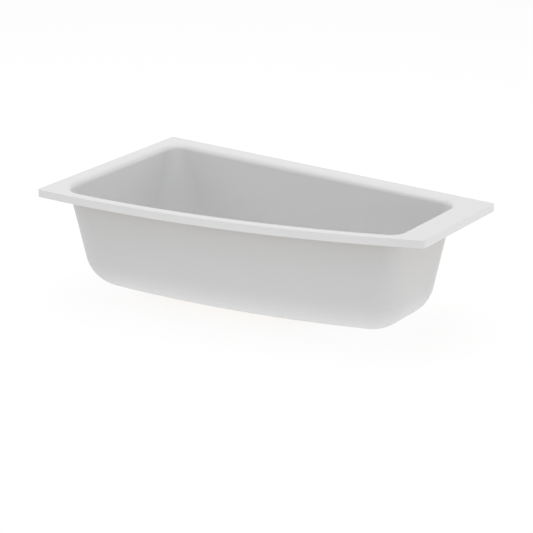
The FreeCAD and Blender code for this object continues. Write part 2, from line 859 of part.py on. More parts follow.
vessel("drain_body", body_profile, body_void, drain_frame, [
    (s.outlet_radius, outlet_bore, outlet_length, outlet_axis),
    (s.pipe_radius, s.pipe_bore, s.branch_reach, inlet_axis),
])

seal_low = seat_ring + s.plug_gap
seal_high = seal_low + s.plug_seal_thick
cap_edge = seal_high + s.plug_rise
cap_profile = [
    (0, seal_high), (s.plug_radius, seal_high), (s.plug_radius, cap_edge),
    (s.plug_radius / 2, cap_edge + s.plug_shoulder), (0, cap_edge + s.plug_crown),
]
piece(turned("plug_cap", cap_profile, drain_frame), "plug_cap")
piece(ring("plug_seal", s.plug_seal_bore, s.plug_seal_radius, seal_low, seal_high, drain_frame), "plug_seal")
stem_head = s.plug_seal_bore - s.seat_clearance
stem_profile = [
    (0, -s.stem_drop), (s.stem_radius, -s.stem_drop), (s.stem_radius, seal_low),
    (stem_head, seal_low), (stem_head, seal_high), (0, seal_high),
]
piece(turned("plug_stem", stem_profile, drain_frame), "plug_stem")


# Overflow on the back wall: knob, flange, body behind the wall, pipe down to the waste

overflow_flange_high = s.seal_thick + s.flange_thick
overflow_flange_profile = [
    (s.overflow_bore, -s.overflow_tube_length), (s.overflow_tube, -s.overflow_tube_length),
    (s.overflow_tube, s.seal_thick), (s.overflow_flange_radius, s.seal_thick),
    (s.overflow_flange_radius - s.flange_thick / 2, overflow_flange_high),
    (s.overflow_bore, overflow_flange_high),
]
overflow_turn = turned("overflow_flange_turn", overflow_flange_profile, overflow_frame)
shaft_bore = s.shaft_radius + s.shaft_clearance
hub_low = overflow_flange_high - s.hub_height
overflow_spider = spider("overflow_spider", s.overflow_bore, shaft_bore, hub_low, overflow_frame)
piece(fuse("overflow_flange", [overflow_turn] + overflow_spider), "overflow_flange")
front_seal = s.overflow_flange_radius - s.flange_thick
piece(ring("overflow_front_seal", s.overflow_hole_radius, front_seal, 0, s.seal_thick, overflow_frame),
      "overflow_front_seal")
overflow_body_front = -wall_through - s.seal_thick
piece(ring("overflow_back_seal", s.overflow_hole_radius, s.overflow_body_radius, overflow_body_front,
           -wall_through, overflow_frame), "overflow_back_seal")

overflow_thread = s.overflow_tube + s.slip_clearance
overflow_chamber = s.overflow_body_radius - s.body_wall
overflow_back = -s.overflow_body_length
overflow_step = -s.overflow_tube_length - s.seat_clearance
flange_back = overflow_body_front - s.body_flange_thick
overflow_body_profile = [
    (0, overflow_back), (s.overflow_body_radius, overflow_back), (s.overflow_body_radius, flange_back),
    (s.overflow_body_flange, flange_back), (s.overflow_body_flange, overflow_body_front),
    (0, overflow_body_front),
]
chamber_back = overflow_back + s.body_wall
bore_front = overflow_body_front + s.wall_sheet
overflow_body_void = [
    (0, chamber_back), (overflow_chamber, chamber_back), (overflow_chamber, overflow_step),
    (overflow_thread, overflow_step), (overflow_thread, bore_front), (0, bore_front),
]

# the pipe's line: down in the plane of the back wall, then level to the waste body
pipe_start = (overflow_frame * at(0, 0, -s.pipe_axis)).Base
pipe_level = (seat_level - s.outlet_drop).value
corner_y = pipe_start.y - (pipe_level - pipe_start.z) * wall_normal.z / wall_normal.y
pipe_corner = Vector(drain_x.value, corner_y, pipe_level)
down = (pipe_corner - pipe_start).normalize()
level = Vector(0, -1, 0)
branch_end = pipe_start + down * s.branch_reach.value
waste_branch_end = Vector(drain_x.value, (drain_y + s.branch_reach).value, pipe_level)


def pipe_line(start, stop):
    """Straight runs from start to the corner and on to stop, joined by a tangent arc."""
    turn = math.acos(down.dot(level))
    tangent = s.pipe_bend.value * math.tan(turn / 2)
    first = pipe_corner - down * tangent
    last = pipe_corner + level * tangent
    inward = (level - down).normalize()
    middle = pipe_corner + inward * (s.pipe_bend.value / math.cos(turn / 2) - s.pipe_bend.value)
    return Part.Wire([Part.LineSegment(start, first).toShape(), Part.Arc(first, middle, last).toShape(),
                      Part.LineSegment(last, stop).toShape()])


def tube(line, radius):
    section = Part.Wire(Part.makeCircle(radius, line.Edges[0].firstVertex().Point, down))
    return line.makePipeShell([section], True, False)


branch_turn = Rotation(Vector(0, 0, 1), down)
vessel("overflow_body", overflow_body_profile, overflow_body_void, overflow_frame, [
    (s.pipe_radius, s.pipe_bore, s.branch_reach, Placement(pipe_start, branch_turn)),
])

gap = s.pipe_gap.value
overflow_line = pipe_line(branch_end + down * gap, waste_branch_end - level * gap)
pipe_outside = tube(overflow_line, s.pipe_radius.value)
computed("overflow_pipe", pipe_outside.cut(tube(overflow_line, s.pipe_bore.value)))

nut_bore = s.pipe_radius + s.slip_clearance
nut_half = s.slip_nut_length / 2
nut_profile = [
    (nut_bore, -nut_half), (s.slip_nut_radius - s.flange_thick, -nut_half),
    (s.slip_nut_radius, s.flange_thick - nut_half), (s.slip_nut_radius, nut_half), (nut_bore, nut_half),
]
piece(turned("overflow_nut_top", nut_profile, Placement(branch_end, branch_turn)), "overflow_nut_top")
piece(turned("overflow_nut_bottom", nut_profile, Placement(waste_branch_end, along_y)),
      "overflow_nut_bottom")

# knob on its shaft, with the drum that draws the cable to the plug
boss_back = s.knob_skirt - s.shaft_clearance
cap_back = s.knob_front - 2 * s.knob_wall
knob_profile = [
    (shaft_bore, boss_back), (s.knob_boss, boss_back), (s.knob_boss, cap_back),
    (s.knob_radius - s.knob_wall, cap_back), (s.knob_radius - s.knob_wall, s.knob_skirt),
    (s.knob_radius, s.knob_skirt), (s.knob_radius, s.knob_front - s.knob_wall),
    (s.knob_radius - s.knob_wall, s.knob_front), (0, s.knob_front), (0, cap_back), (shaft_bore, cap_back),
]
knob_turn = turned("overflow_knob_turn", knob_profile, overflow_frame)
grip = box("overflow_knob_grip", s.grip_length, s.grip_width, s.grip_height + s.knob_wall,
           overflow_frame * at(-s.grip_length / 2, -s.grip_width / 2, s.knob_front - s.knob_wall))
piece(fuse("overflow_knob", [knob_turn, grip]), "overflow_knob")
shaft_front = cap_back - s.shaft_clearance
shaft_frame = overflow_frame * at(0, 0, -s.shaft_back)
piece(cylinder("knob_shaft", s.shaft_radius, shaft_front + s.shaft_back, shaft_frame), "knob_shaft")
drum_low = -s.pipe_axis - s.drum_length / 2
drum_high = -s.pipe_axis + s.drum_length / 2
groove_radius = s.drum_radius - s.drum_groove
drum_profile = [
    (shaft_bore, drum_low), (s.drum_radius, drum_low), (s.drum_radius, -s.pipe_axis - s.drum_groove),
    (groove_radius, -s.pipe_axis - s.drum_groove), (groove_radius, -s.pipe_axis + s.drum_groove),
    (s.drum_radius, -s.pipe_axis + s.drum_groove), (s.drum_radius, drum_high), (shaft_bore, drum_high),
]
piece(turned("cable_drum", drum_profile, overflow_frame), "cable_drum")

cable_start = pipe_start + down * (groove_radius + s.seat_clearance).value
stem_side = s.stem_radius + s.seat_clearance
cable_stop = Vector(drain_x.value, (drain_y + stem_side).value, pipe_level)
computed("control_cable", tube(pipe_line(cable_start, cable_stop), s.cable_radius.value))


# Trap beside the waste, with its outlet towards the wall

trap_axis_z = seat_level - s.outlet_drop
trap_frame = at(trap_x, drain_y, trap_axis_z - s.trap_drop)
cup_bore = s.trap_radius - s.trap_wall
cup_profile = [(0, 0), (s.trap_radius, 0), (s.trap_radius, s.trap_height), (0, s.trap_height)]
cup_top = s.trap_height + s.trap_wall
cup_void = [(0, s.trap_wall), (cup_bore, s.trap_wall), (cup_bore, cup_top), (0, cup_top)]
spigot_length = union_middle - s.union_gap - trap_x
root_radius = s.outlet_radius + s.outlet_wall
trap_outlet = at(trap_x, drain_y, trap_axis_z, along_y)
vessel("trap_body", cup_profile, cup_void, trap_frame, [
    (s.outlet_radius, outlet_bore, spigot_length, at(trap_x, drain_y, trap_axis_z, along_x)),
    (root_radius, outlet_bore, s.trap_outlet_root, trap_outlet),
    (s.outlet_radius, outlet_bore, s.trap_outlet_reach, trap_outlet),
])
lid_low = s.trap_height + s.seal_thick
piece(ring("trap_lid_seal", cup_bore, s.trap_radius, s.trap_height, lid_low, trap_frame),
      "trap_lid_seal")
piece(cylinder("trap_lid", lid_radius, s.trap_lid_thick, trap_frame * at(0, 0, lid_low)), "trap_lid")
baffle_reach = cup_bore - s.baffle_gap
baffle_far = s.baffle_offset + s.baffle_thick
baffle_half = root(baffle_reach * baffle_reach - baffle_far * baffle_far)
piece(box("trap_baffle", s.baffle_thick, 2 * baffle_half, s.baffle_drop,
          trap_frame * at(s.baffle_offset, -baffle_half, lid_low - s.baffle_drop)), "trap_baffle")
union_half = s.union_nut_length / 2
union_bore = s.outlet_radius + s.slip_clearance
piece(ring("trap_union_nut", union_bore, s.union_nut_radius, -union_half, union_half,
           at(union_middle, drain_y, trap_axis_z, along_x)), "trap_union_nut")


# Checks and export

doc.recompute()
for item in doc.Objects:
    if {"Invalid", "Error"} & set(item.State):
        raise RuntimeError(f"{item.Label} failed: {item.State}")
for item in pieces:
    if item.Shape.isNull() or not item.Shape.isValid():
        raise RuntimeError(f"{item.Label} has no valid shape")

os.makedirs("parts", exist_ok=True)
for item in pieces:
    item.Shape.exportStep(f"parts/{item.Label}.step")
    print(item.Label, len(item.Shape.Solids), round(item.Shape.Volume))
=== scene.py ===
import json
import math

import bpy
import numpy as np
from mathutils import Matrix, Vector


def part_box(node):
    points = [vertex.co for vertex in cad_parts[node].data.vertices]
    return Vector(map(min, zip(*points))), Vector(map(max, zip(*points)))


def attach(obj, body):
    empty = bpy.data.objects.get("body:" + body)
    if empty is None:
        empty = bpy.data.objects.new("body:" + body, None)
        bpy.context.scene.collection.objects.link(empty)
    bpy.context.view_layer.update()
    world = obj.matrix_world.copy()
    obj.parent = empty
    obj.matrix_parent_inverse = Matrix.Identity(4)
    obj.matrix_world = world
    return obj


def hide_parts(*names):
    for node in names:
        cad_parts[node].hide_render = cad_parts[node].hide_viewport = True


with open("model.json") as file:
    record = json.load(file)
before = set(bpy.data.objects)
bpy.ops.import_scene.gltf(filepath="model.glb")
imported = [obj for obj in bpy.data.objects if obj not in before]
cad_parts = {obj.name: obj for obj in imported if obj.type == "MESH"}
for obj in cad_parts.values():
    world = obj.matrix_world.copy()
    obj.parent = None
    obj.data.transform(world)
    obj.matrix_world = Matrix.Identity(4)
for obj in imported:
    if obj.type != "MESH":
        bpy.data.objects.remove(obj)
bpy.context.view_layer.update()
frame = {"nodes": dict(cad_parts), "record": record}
nodes = frame["nodes"]
bodyOf = {node: body for body, held in frame["record"]["behaviour"]["bodies"].items() for node in held}


# a socket that takes part in sums: each operator adds one Math node
class Value:
    def __init__(self, tree, socket):
        self.tree = tree
        self.socket = socket

    def math(self, operation, first, second):
        return self.tree.node("Math", {"operation": operation}, {0: first, 1: second})

    def __add__(self, other):
        return self.math("ADD", self, other)

    def __radd__(self, other):
        return self.math("ADD", other, self)

    def __rsub__(self, other):
        return self.math("SUBTRACT", other, self)

    def __mul__(self, other):
        return self.math("MULTIPLY", self, other)

    def __rmul__(self, other):
        return self.math("MULTIPLY", other, self)


# the nodes of a material or world; node() adds any node, settings first and then its sockets
class Tree:
    def __init__(self, owner):
        owner.use_nodes = True
        self.nodes = owner.node_tree.nodes
        self.links = owner.node_tree.links

    def node(self, kind, settings, sockets, output=0):
        made = self.nodes.new("ShaderNode" + kind)
        for key, value in settings.items():
            if key == "stops":
                ramp = made.color_ramp.elements
                while len(ramp) < len(value):
                    ramp.new(1.0)
                for stop, (place, colour) in zip(ramp, value):
                    stop.position = place
                    stop.color = (*colour, 1.0)
            else:
                setattr(made, key, value)
        for key, value in sockets.items():
            self.feed(made.inputs[key], value)
        return Value(self, made.outputs[output])

    def feed(self, socket, value):
        if isinstance(value, Value):
            self.links.new(value.socket, socket)
        elif isinstance(value, tuple) and len(value) == 3 and socket.type == "RGBA":
            socket.default_value = (*value, 1.0)
        else:
            socket.default_value = value

    def seen(self):
        # 1 for rays from the camera, from mirrors and through glass
        kinds = ("Is Camera Ray", "Is Glossy Ray", "Is Transmission Ray")
        camera, glossy, through = (self.node("LightPath", {}, {}, kind) for kind in kinds)
        return camera.math("MAXIMUM", camera, glossy.math("MAXIMUM", glossy, through))


# a material on one Principled shader
class Finish(Tree):
    def __init__(self, name, constants):
        self.material = bpy.data.materials.new(name)
        super().__init__(self.material)
        self.shader = self.nodes["Principled BSDF"]
        for socket, value in constants.items():
            self.set(socket, value)

    def set(self, socket, value):
        self.feed(self.shader.inputs[socket], value)

    def place(self, scale=(1.0, 1.0, 1.0), turn=(0.0, 0.0, 0.0)):
        # object coordinates, stretched along chosen axes
        here = self.node("TexCoord", {}, {}, "Object")
        return self.node("Mapping", {}, {"Vector": here, "Scale": scale, "Rotation": turn})

    def noise(self, where, scale, detail=2.0, rough=0.5):
        sockets = {"Vector": where, "Scale": scale, "Detail": detail, "Roughness": rough}
        return self.node("TexNoise", {}, sockets)

    def flakes(self, where, scale):
        return self.node("TexVoronoi", {"feature": "F1"}, {"Vector": where, "Scale": scale}, "Color")

    def between(self, share, low, high):
        return self.node("Mix", {"data_type": "RGBA"}, {"Factor": share, 6: low, 7: high}, 2)

    def bump(self, height, strength, distance):
        sockets = {"Height": height, "Strength": strength, "Distance": distance}
        self.set("Normal", self.node("Bump", {}, sockets))


def acrylicFinish():
    # cast white sheet: a trace of orange peel and a gloss that wanders a little; its back, where the mesh's
    # mark for the back is 1, is the duller reinforcing resin, and its greyer colour is painted shade on the
    # bath's outside
    look = {
        "low": (0.735, 0.736, 0.736), "high": (0.755, 0.756, 0.756), "gloss": 0.18, "wander": 0.08,
        # the resin tones stand for the resin's own grey and for painted shade on the outside
        "shadedResinLow": (0.588, 0.589, 0.589), "shadedResinHigh": (0.608, 0.609, 0.609), "dull": 0.3,
        "cloud": (3.0, 3.0), "sheen": (9.0, 4.0), "peel": (160.0, 2.0), "fibres": (420.0, 3.0),
        "bump": (0.012, 0.0006),
    }
    finish = Finish("whiteAcrylic", {"Specular IOR Level": 0.5})
    where = finish.place()
    # 1 on the bath's outside, its resin back, whose greyer colour is painted shade
    back = finish.node("Attribute", {"attribute_name": "backing"}, {}, "Fac")
    cloud = finish.noise(where, *look["cloud"])
    sheen = finish.noise(where, *look["sheen"])
    face = finish.between(cloud, look["low"], look["high"])
    # painted shade: the greyer resin colour darkens the whole outside of the bath
    resinAndShade = finish.between(cloud, look["shadedResinLow"], look["shadedResinHigh"])
    finish.set("Base Color", finish.between(back, face, resinAndShade))
    finish.set("Roughness", look["gloss"] + look["wander"] * sheen + look["dull"] * back)
    peel = finish.noise(where, *look["peel"])
    fibres = finish.noise(where, *look["fibres"])
    finish.bump(peel + back * fibres, *look["bump"])
    return finish.material


def timberFinish(name, along):
    # sawn softwood: growth bands stretched along the strip, with fine pores
    look = {
        "pale": (0.66, 0.50, 0.33), "dark": (0.47, 0.32, 0.18), "paleFrom": 0.62, "darkTo": 0.3,
        "stretch": 0.06, "bands": (95.0, 5.0, 0.6), "pores": (620.0, 2.0), "rough": 0.62, "poreRough": 0.22,
        "bandHeight": 0.4, "poreHeight": 0.6, "bump": (0.25, 0.0006),
    }
    finish = Finish(name, {"Specular IOR Level": 0.25})
    where = finish.place(tuple(look["stretch"] if axis == along else 1.0 for axis in range(3)))
    bands = finish.noise(where, *look["bands"])
    pores = finish.noise(where, *look["pores"])
    stops = [(look["darkTo"], look["dark"]), (look["paleFrom"], look["pale"])]
    finish.set("Base Color", finish.node("ValToRGB", {"stops": stops}, {"Fac": bands}))
    finish.set("Roughness", look["rough"] + look["poreRough"] * pores)
    finish.bump(bands * look["bandHeight"] + pores * look["poreHeight"], *look["bump"])
    return finish.material


def boardFinish():
    # pressed chips of several shades with a sanded face
    look = {
        "pale": (0.70, 0.56, 0.38), "dark": (0.40, 0.27, 0.15), "paleFrom": 0.75, "darkTo": 0.12,
        "stretch": (1.0, 1.6, 1.0), "turn": (0.0, 0.0, 0.5), "chips": 210.0, "fine": (480.0, 3.0),
        "chipShare": 0.7, "fineShare": 0.3, "rough": 0.68, "fineRough": 0.2, "bump": (0.3, 0.0005),
    }
    finish = Finish("pressedBoard", {"Specular IOR Level": 0.25})
    where = finish.place(look["stretch"], look["turn"])
    chips = finish.node("SeparateColor", {}, {"Color": finish.flakes(where, look["chips"])})
    fine = finish.noise(where, *look["fine"])
    mix = chips * look["chipShare"] + fine * look["fineShare"]
    stops = [(look["darkTo"], look["dark"]), (look["paleFrom"], look["pale"])]
    finish.set("Base Color", finish.node("ValToRGB", {"stops": stops}, {"Fac": mix}))
    finish.set("Roughness", look["rough"] + look["fineRough"] * fine)
    finish.bump(mix, *look["bump"])
    return finish.material


def zincFinish():
    # plated steel: crystals of slightly different brightness, dull and bright by turns
    look = {
        "low": (0.50, 0.51, 0.53), "high": (0.68, 0.69, 0.69), "grain": 240.0, "haze": (35.0, 4.0),
        "share": 0.5, "rough": 0.27, "hazeRough": 0.16, "grainRough": 0.08, "fine": (900.0, 2.0),
        "bump": (0.06, 0.0002),
    }
    finish = Finish("zincSteel", {"Metallic": 1.0})
    where = finish.place()
    grain = finish.node("SeparateColor", {}, {"Color": finish.flakes(where, look["grain"])})
    haze = finish.noise(where, *look["haze"])
    mix = grain * look["share"] + haze * look["share"]
    finish.set("Base Color", finish.between(mix, look["low"], look["high"]))
    finish.set("Roughness", look["rough"] + look["hazeRough"] * haze + look["grainRough"] * grain)
    finish.bump(finish.noise(where, *look["fine"]), *look["bump"])
    return finish.material


def chromeFinish():
    # polished plate with faint wipe marks
    look = {
        "low": (0.80, 0.81, 0.82), "high": (0.86, 0.86, 0.87), "stretch": (1.0, 1.0, 2.5),
        "wipe": (45.0, 5.0), "rough": 0.04, "wipeRough": 0.07, "fine": (700.0, 1.0), "bump": (0.01, 0.0002),
    }
    finish = Finish("polishedChrome", {"Metallic": 1.0})
    where = finish.place(look["stretch"])
    wipe = finish.noise(where, *look["wipe"])
    finish.set("Base Color", finish.between(wipe, look["low"], look["high"]))
    finish.set("Roughness", look["rough"] + look["wipeRough"] * wipe)
    finish.bump(finish.noise(where, *look["fine"]), *look["bump"])
    return finish.material


def whiteMouldingFinish():
    # polypropylene: soft sheen, flow clouding and a fine grain
    look = {
        "low": (0.76, 0.76, 0.74), "high": (0.82, 0.82, 0.81), "flow": (24.0, 4.0), "grain": (1400.0, 1.0),
        "rough": 0.34, "flowRough": 0.14, "bump": (0.05, 0.0002),
    }
    finish = Finish("whiteMoulding", {"Specular IOR Level": 0.45})
    where = finish.place()
    flow = finish.noise(where, *look["flow"])
    finish.set("Base Color", finish.between(flow, look["low"], look["high"]))
    finish.set("Roughness", look["rough"] + look["flowRough"] * flow)
    finish.bump(finish.noise(where, *look["grain"]), *look["bump"])
    return finish.material


def blackMouldingFinish():
    # filled nylon: dark, with a scuffed grain
    look = {
        "low": (0.022, 0.022, 0.023), "high": (0.055, 0.055, 0.054), "scuff": (130.0, 5.0, 0.65),
        "grain": (1100.0, 2.0), "rough": 0.42, "scuffRough": 0.2, "bump": (0.12, 0.0002),
    }
    finish = Finish("blackMoulding", {"Specular IOR Level": 0.4})
    where = finish.place()
    scuff = finish.noise(where, *look["scuff"])
    finish.set("Base Color", finish.between(scuff, look["low"], look["high"]))
    finish.set("Roughness", look["rough"] + look["scuffRough"] * scuff)
    finish.bump(finish.noise(where, *look["grain"]), *look["bump"])
    return finish.material


def rubberFinish():
    # seals: matt black with a dusty bloom
    look = {
        "low": (0.03, 0.03, 0.03), "high": (0.085, 0.084, 0.082), "bloom": (210.0, 4.0, 0.6),
        "rough": 0.66, "bloomRough": 0.24, "bump": (0.08, 0.0003),
    }
    finish = Finish("sealRubber", {"Specular IOR Level": 0.3})
    where = finish.place()
    bloom = finish.noise(where, *look["bloom"])
    finish.set("Base Color", finish.between(bloom, look["low"], look["high"]))
    finish.set("Roughness", look["rough"] + look["bloomRough"] * bloom)
    finish.bump(bloom, *look["bump"])
    return finish.material


finishes = {
    "acrylic": acrylicFinish(),
    "timber": timberFinish("timberAlongX", 0),
    "timberAcross": timberFinish("timberAlongY", 1),
    "board": boardFinish(),
    "zinc_steel": zincFinish(),
    "chrome": chromeFinish(),
    "white_plastic": whiteMouldingFinish(),
    "black_plastic": blackMouldingFinish(),
    "seal_rubber": rubberFinish(),
}
slotOf = {part["node"]: part["material_slot"] for part in frame["record"]["subparts"]}
special = {"base_board": "board", "rim_strip_left": "timberAcross", "rim_strip_right": "timberAcross"}


def dress(piece, finish):
    # one finish for the whole piece, held in the object's own slot
    if not piece.data.materials:
        piece.data.materials.append(None)
    for held in piece.material_slots:
        held.link = "OBJECT"
        held.material = finish


for node, piece in nodes.items():
    dress(piece, finishes[special.get(node, slotOf[node])])
print("finishes:", len(finishes))


# quads between neighbouring rows and columns; a closed way joins its last line to its first
def gridFaces(rows, columns, closeRows, closeColumns):
    i = np.arange(rows if closeRows else rows - 1)[:, None]
    j = np.arange(columns if closeColumns else columns - 1)[None, :]
    below, beside = (i + 1) % rows * columns, (j + 1) % columns
    corners = np.broadcast_arrays(i * columns + j, below + j, below + beside, i * columns + beside)
    return np.stack(corners, -1)


def unit(vectors):
    return vectors / np.maximum(np.linalg.norm(vectors, axis=-1, keepdims=True), 1e-12)


# normal = difference along the rows crossed with difference along the columns; a row that is one point
# takes its neighbour's
def gridNormals(grid, closeRows, closeColumns):
    ways = []
    for axis, closed in ((0, closeRows), (1, closeColumns)):
        around = [(1, 1) if axis == k else (0, 0) for k in range(3)]
        padded = np.pad(grid, around, mode="wrap" if closed else "edge")
        count = grid.shape[axis]
        ways.append(np.take(padded, range(2, count + 2), axis) - np.take(padded, range(count), axis))
    normal = unit(np.cross(*ways))
    beside = np.concatenate([normal[1:2], normal[1:-1], normal[-2:-1]])
    lost = np.linalg.norm(normal, axis=2, keepdims=True) < 0.5
    return np.where(lost, beside, normal)


# points, normals and faces of one closed surface, turned round if it would hold a negative volume
def patch(grid, closeRows, closeColumns, caps=()):
    points = grid.reshape(-1, 3)
    normals = gridNormals(grid, closeRows, closeColumns).reshape(-1, 3)
    faces = np.concatenate([gridFaces(*grid.shape[:2], closeRows, closeColumns).reshape(-1, 4), *caps])
    a, b, c, d = (points[faces[:, k]] - points[0] for k in range(4))
    if (a * np.cross(b, c) + a * np.cross(c, d)).sum() < 0:
        faces, normals = faces[:, ::-1], -normals
    return points, normals, faces


# one mesh from closed surfaces in mm, with their own normals, on the body of the node it stands for; points
# that fall together become one, and a face keeps its separate corners
def makePiece(name, stoodFor, *patches, backing=None):
    starts = np.cumsum([0] + [len(part[0]) for part in patches])
    points, normals = (np.concatenate([part[k] for part in patches]) for k in (0, 1))
    faces = np.concatenate([part[2] + start for part, start in zip(patches, starts)])
    spots, where = np.unique(np.round(points, 3), axis=0, return_inverse=True)
    where = where.ravel()
    shared = np.zeros_like(spots)
    np.add.at(shared, where, normals)
    faces = where[faces]
    apart = faces != np.roll(faces, -1, axis=1)
    whole = apart.sum(1) > 2
    sizes = apart[whole].sum(1)
    used, corners = np.unique(faces[whole][apart[whole]], return_inverse=True)
    mesh = bpy.data.meshes.new(name)
    mesh.vertices.add(len(used))
    mesh.vertices.foreach_set("co", (spots[used] * 0.001).ravel())
    mesh.loops.add(len(corners))
    mesh.loops.foreach_set("vertex_index", corners.astype(np.int32))
    mesh.polygons.add(len(sizes))
    mesh.polygons.foreach_set("loop_start", np.r_[0, np.cumsum(sizes)[:-1]].astype(np.int32))
    mesh.update(calc_edges=True)
    mesh.validate()
    mesh.shade_smooth()
    mesh.normals_split_custom_set_from_vertices(unit(shared[used]).tolist())
    # per-point mark of the resin back, whose greyer colour is painted shade
    if backing is not None:
        spread = np.zeros(len(spots))
        spread[where] = backing
        mesh.attributes.new("backing", "FLOAT", "POINT").data.foreach_set("value", spread[used])
    piece = bpy.data.objects.new(name, mesh)
    bpy.context.scene.collection.objects.link(piece)
    dress(piece, finishes[special.get(stoodFor, slotOf[stoodFor])])
    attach(piece, bodyOf[stoodFor])
    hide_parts(stoodFor)


def nodeBox(node):
    return [1000.0 * np.array(corner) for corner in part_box(node)]


# tub shell
tub = {
    "rimTop": 500.0, "rimSheet": 5.0, "lipDrop": 32.0, "edgeRound": 2.0, "lipRound": 1.2,
    "rimCorners": (10.0, 20.0, 10.0, 10.0),
    "length": 1600.0, "wideEnd": 900.0, "narrowEnd": 540.0, "bulge": 85.0,
    "shelves": {"left": 67.0, "right": 116.0, "back": 74.0, "front": 50.0},
    "drafts": {"left": 8.0, "right": 29.0, "back": 14.0, "front": 6.0}, "draftDepth": 450.0,
    "topCorners": (96.0, 60.0, 64.0, 60.0), "lowCorners": (255.0, 203.0, 243.0, 220.0),
    "wallSheet": 6.0, "floorLevel": 66.0, "floorFall": 0.024, "floorRound": 147.0,
    "innerEdge": 22.0, "underEdge": 16.0,
    "drain": (360.0, 150.0), "seat": 59.362, "seatRadius": 40.0, "drainHole": 26.0,
    "overflow": (500.0, 364.462, 322.0), "overflowHole": 22.0, "overflowDepth": 178.0,
    "counts": {"corner": 40, "front": 96, "right": 26, "back": 64, "left": 40},
    "rollSteps": {"inFloor": 22, "inEdge": 12, "outFloor": 18, "outEdge": 8}, "wallSteps": (6, 8),
    "holeCells": 8, "holeShares": (0.005, 0.066), "holeSpan": 34.0, "lipInner": 0.8, "lipClear": 2.5,
    "inSeat": (32.0, -2.5, 3.5, 8), "outSeat": (34.0, 3.5, 9.5, 6), "inPlain": (16, 1.2), "outPlain": 10,
    "rimSpread": (0.04, 0.2, 0.4, 0.6, 0.8, 0.96), "underSpread": (0.04, 0.3, 0.6, 0.9),
}
up = np.array([0.0, 0.0, 1.0])


def aim(angle):
    # level direction, measured from -Y towards +X
    return np.stack([np.sin(angle), -np.cos(angle)], -1)


def rows(low, high, count):
    return np.linspace(low, high, count + 1)


# the front edge is one arc, bulge ahead of the chord between the two ends
def frontBow():
    taper = tub["wideEnd"] - tub["narrowEnd"]
    chord = math.hypot(tub["length"], taper)
    bow = chord ** 2 / (8 * tub["bulge"]) + tub["bulge"] / 2
    centre = (bow - tub["bulge"]) / chord * np.array([-taper, tub["length"]]) - (0.0, tub["narrowEnd"] / 2)
    return centre, bow


# closed line of a bowed front, three straight sides and four tangent corner arcs, run the same way round
# as seen from above: corner point = middle + radius aim(angle); gives points and outward directions
def bowedLine(line, first, last, shares):
    quarter = math.pi / 2
    leftFront, rightFront, rightBack, leftBack = line["corners"]
    rightMiddle = np.array([line["right"] - rightBack, line["back"] - rightBack])
    leftMiddle = np.array([line["left"] + leftBack, line["back"] - leftBack])
    arcs = [
        (line["centre"] + (line["radius"] - leftFront) * aim(first), leftFront, -quarter, first, "corner"),
        (line["centre"], line["radius"], first, last, "front"),
        (line["centre"] + (line["radius"] - rightFront) * aim(last), rightFront, last, quarter, "corner"),
        (rightMiddle, rightBack, quarter, 2 * quarter, "corner"),
        (leftMiddle, leftBack, 2 * quarter, 3 * quarter, "corner"),
    ]
    angles = [start + shares[kind] * (stop - start) for middle, radius, start, stop, kind in arcs]
    curves = [middle + radius * aim(turn) for (middle, radius, *_), turn in zip(arcs, angles)]
    ends = [middle + radius * aim(np.array([start, stop])) for middle, radius, start, stop, kind in arcs]
    sides = []
    joins = (("right", 2, 3, quarter), ("back", 3, 4, 2 * quarter), ("left", 4, 0, 3 * quarter))
    for kind, before, after, turn in joins:
        share = shares[kind]
        begin, end = ends[before][1], ends[after][0]
        sides.append((begin + share[:, None] * (end - begin), np.full(len(share), turn)))
    points = [curves[0], curves[1], curves[2], sides[0][0], curves[3], sides[1][0], curves[4], sides[2][0]]
    turns = [angles[0], angles[1], angles[2], sides[0][1], angles[3], sides[1][1], angles[4], sides[2][1]]
    return np.concatenate(points), aim(np.concatenate(turns))


# wall of straight rulings from the rim line down to the low line, with both lines' directions the same
# along a ruling
class Wall:
    def __init__(self, top, low, out, depth, inset):
        flat = top - inset * out
        self.top = np.column_stack([flat, np.full(len(flat), tub["rimTop"])])
        self.ray = np.column_stack([low - top, np.full(len(flat), -depth)])
        lean = (out * self.ray[:, :2]).sum(1) / depth
        self.normal = np.column_stack([out, lean])
        self.normal /= np.linalg.norm(self.normal, axis=1, keepdims=True)

    def at(self, share):
        return self.top + share[:, None] * self.ray

    # ball of this radius rolled along the wall against a plane; side -1 keeps the ball inside, +1 outside:
    # centre = wall point + side radius normal, held one radius from the plane. Gives the shares where it
    # touches the wall, and the arc from the wall (share 0) to the plane (share 1)
    def roll(self, radius, side, plane, facing, steps):
        start = self.top + side * radius * self.normal
        share = (radius - (start - plane) @ facing) / (self.ray @ facing)
        middle = start + share[:, None] * self.ray
        begin, end = -side * self.normal, np.broadcast_to(-facing, self.normal.shape)
        swing = np.arccos(np.clip((begin * end).sum(1), -1, 1))[:, None]
        part = rows(0.0, 1.0, steps)[:, None, None]
        aims = (np.sin((1 - part) * swing) * begin + np.sin(part * swing) * end) / np.sin(swing)
        return share, middle + radius * aims


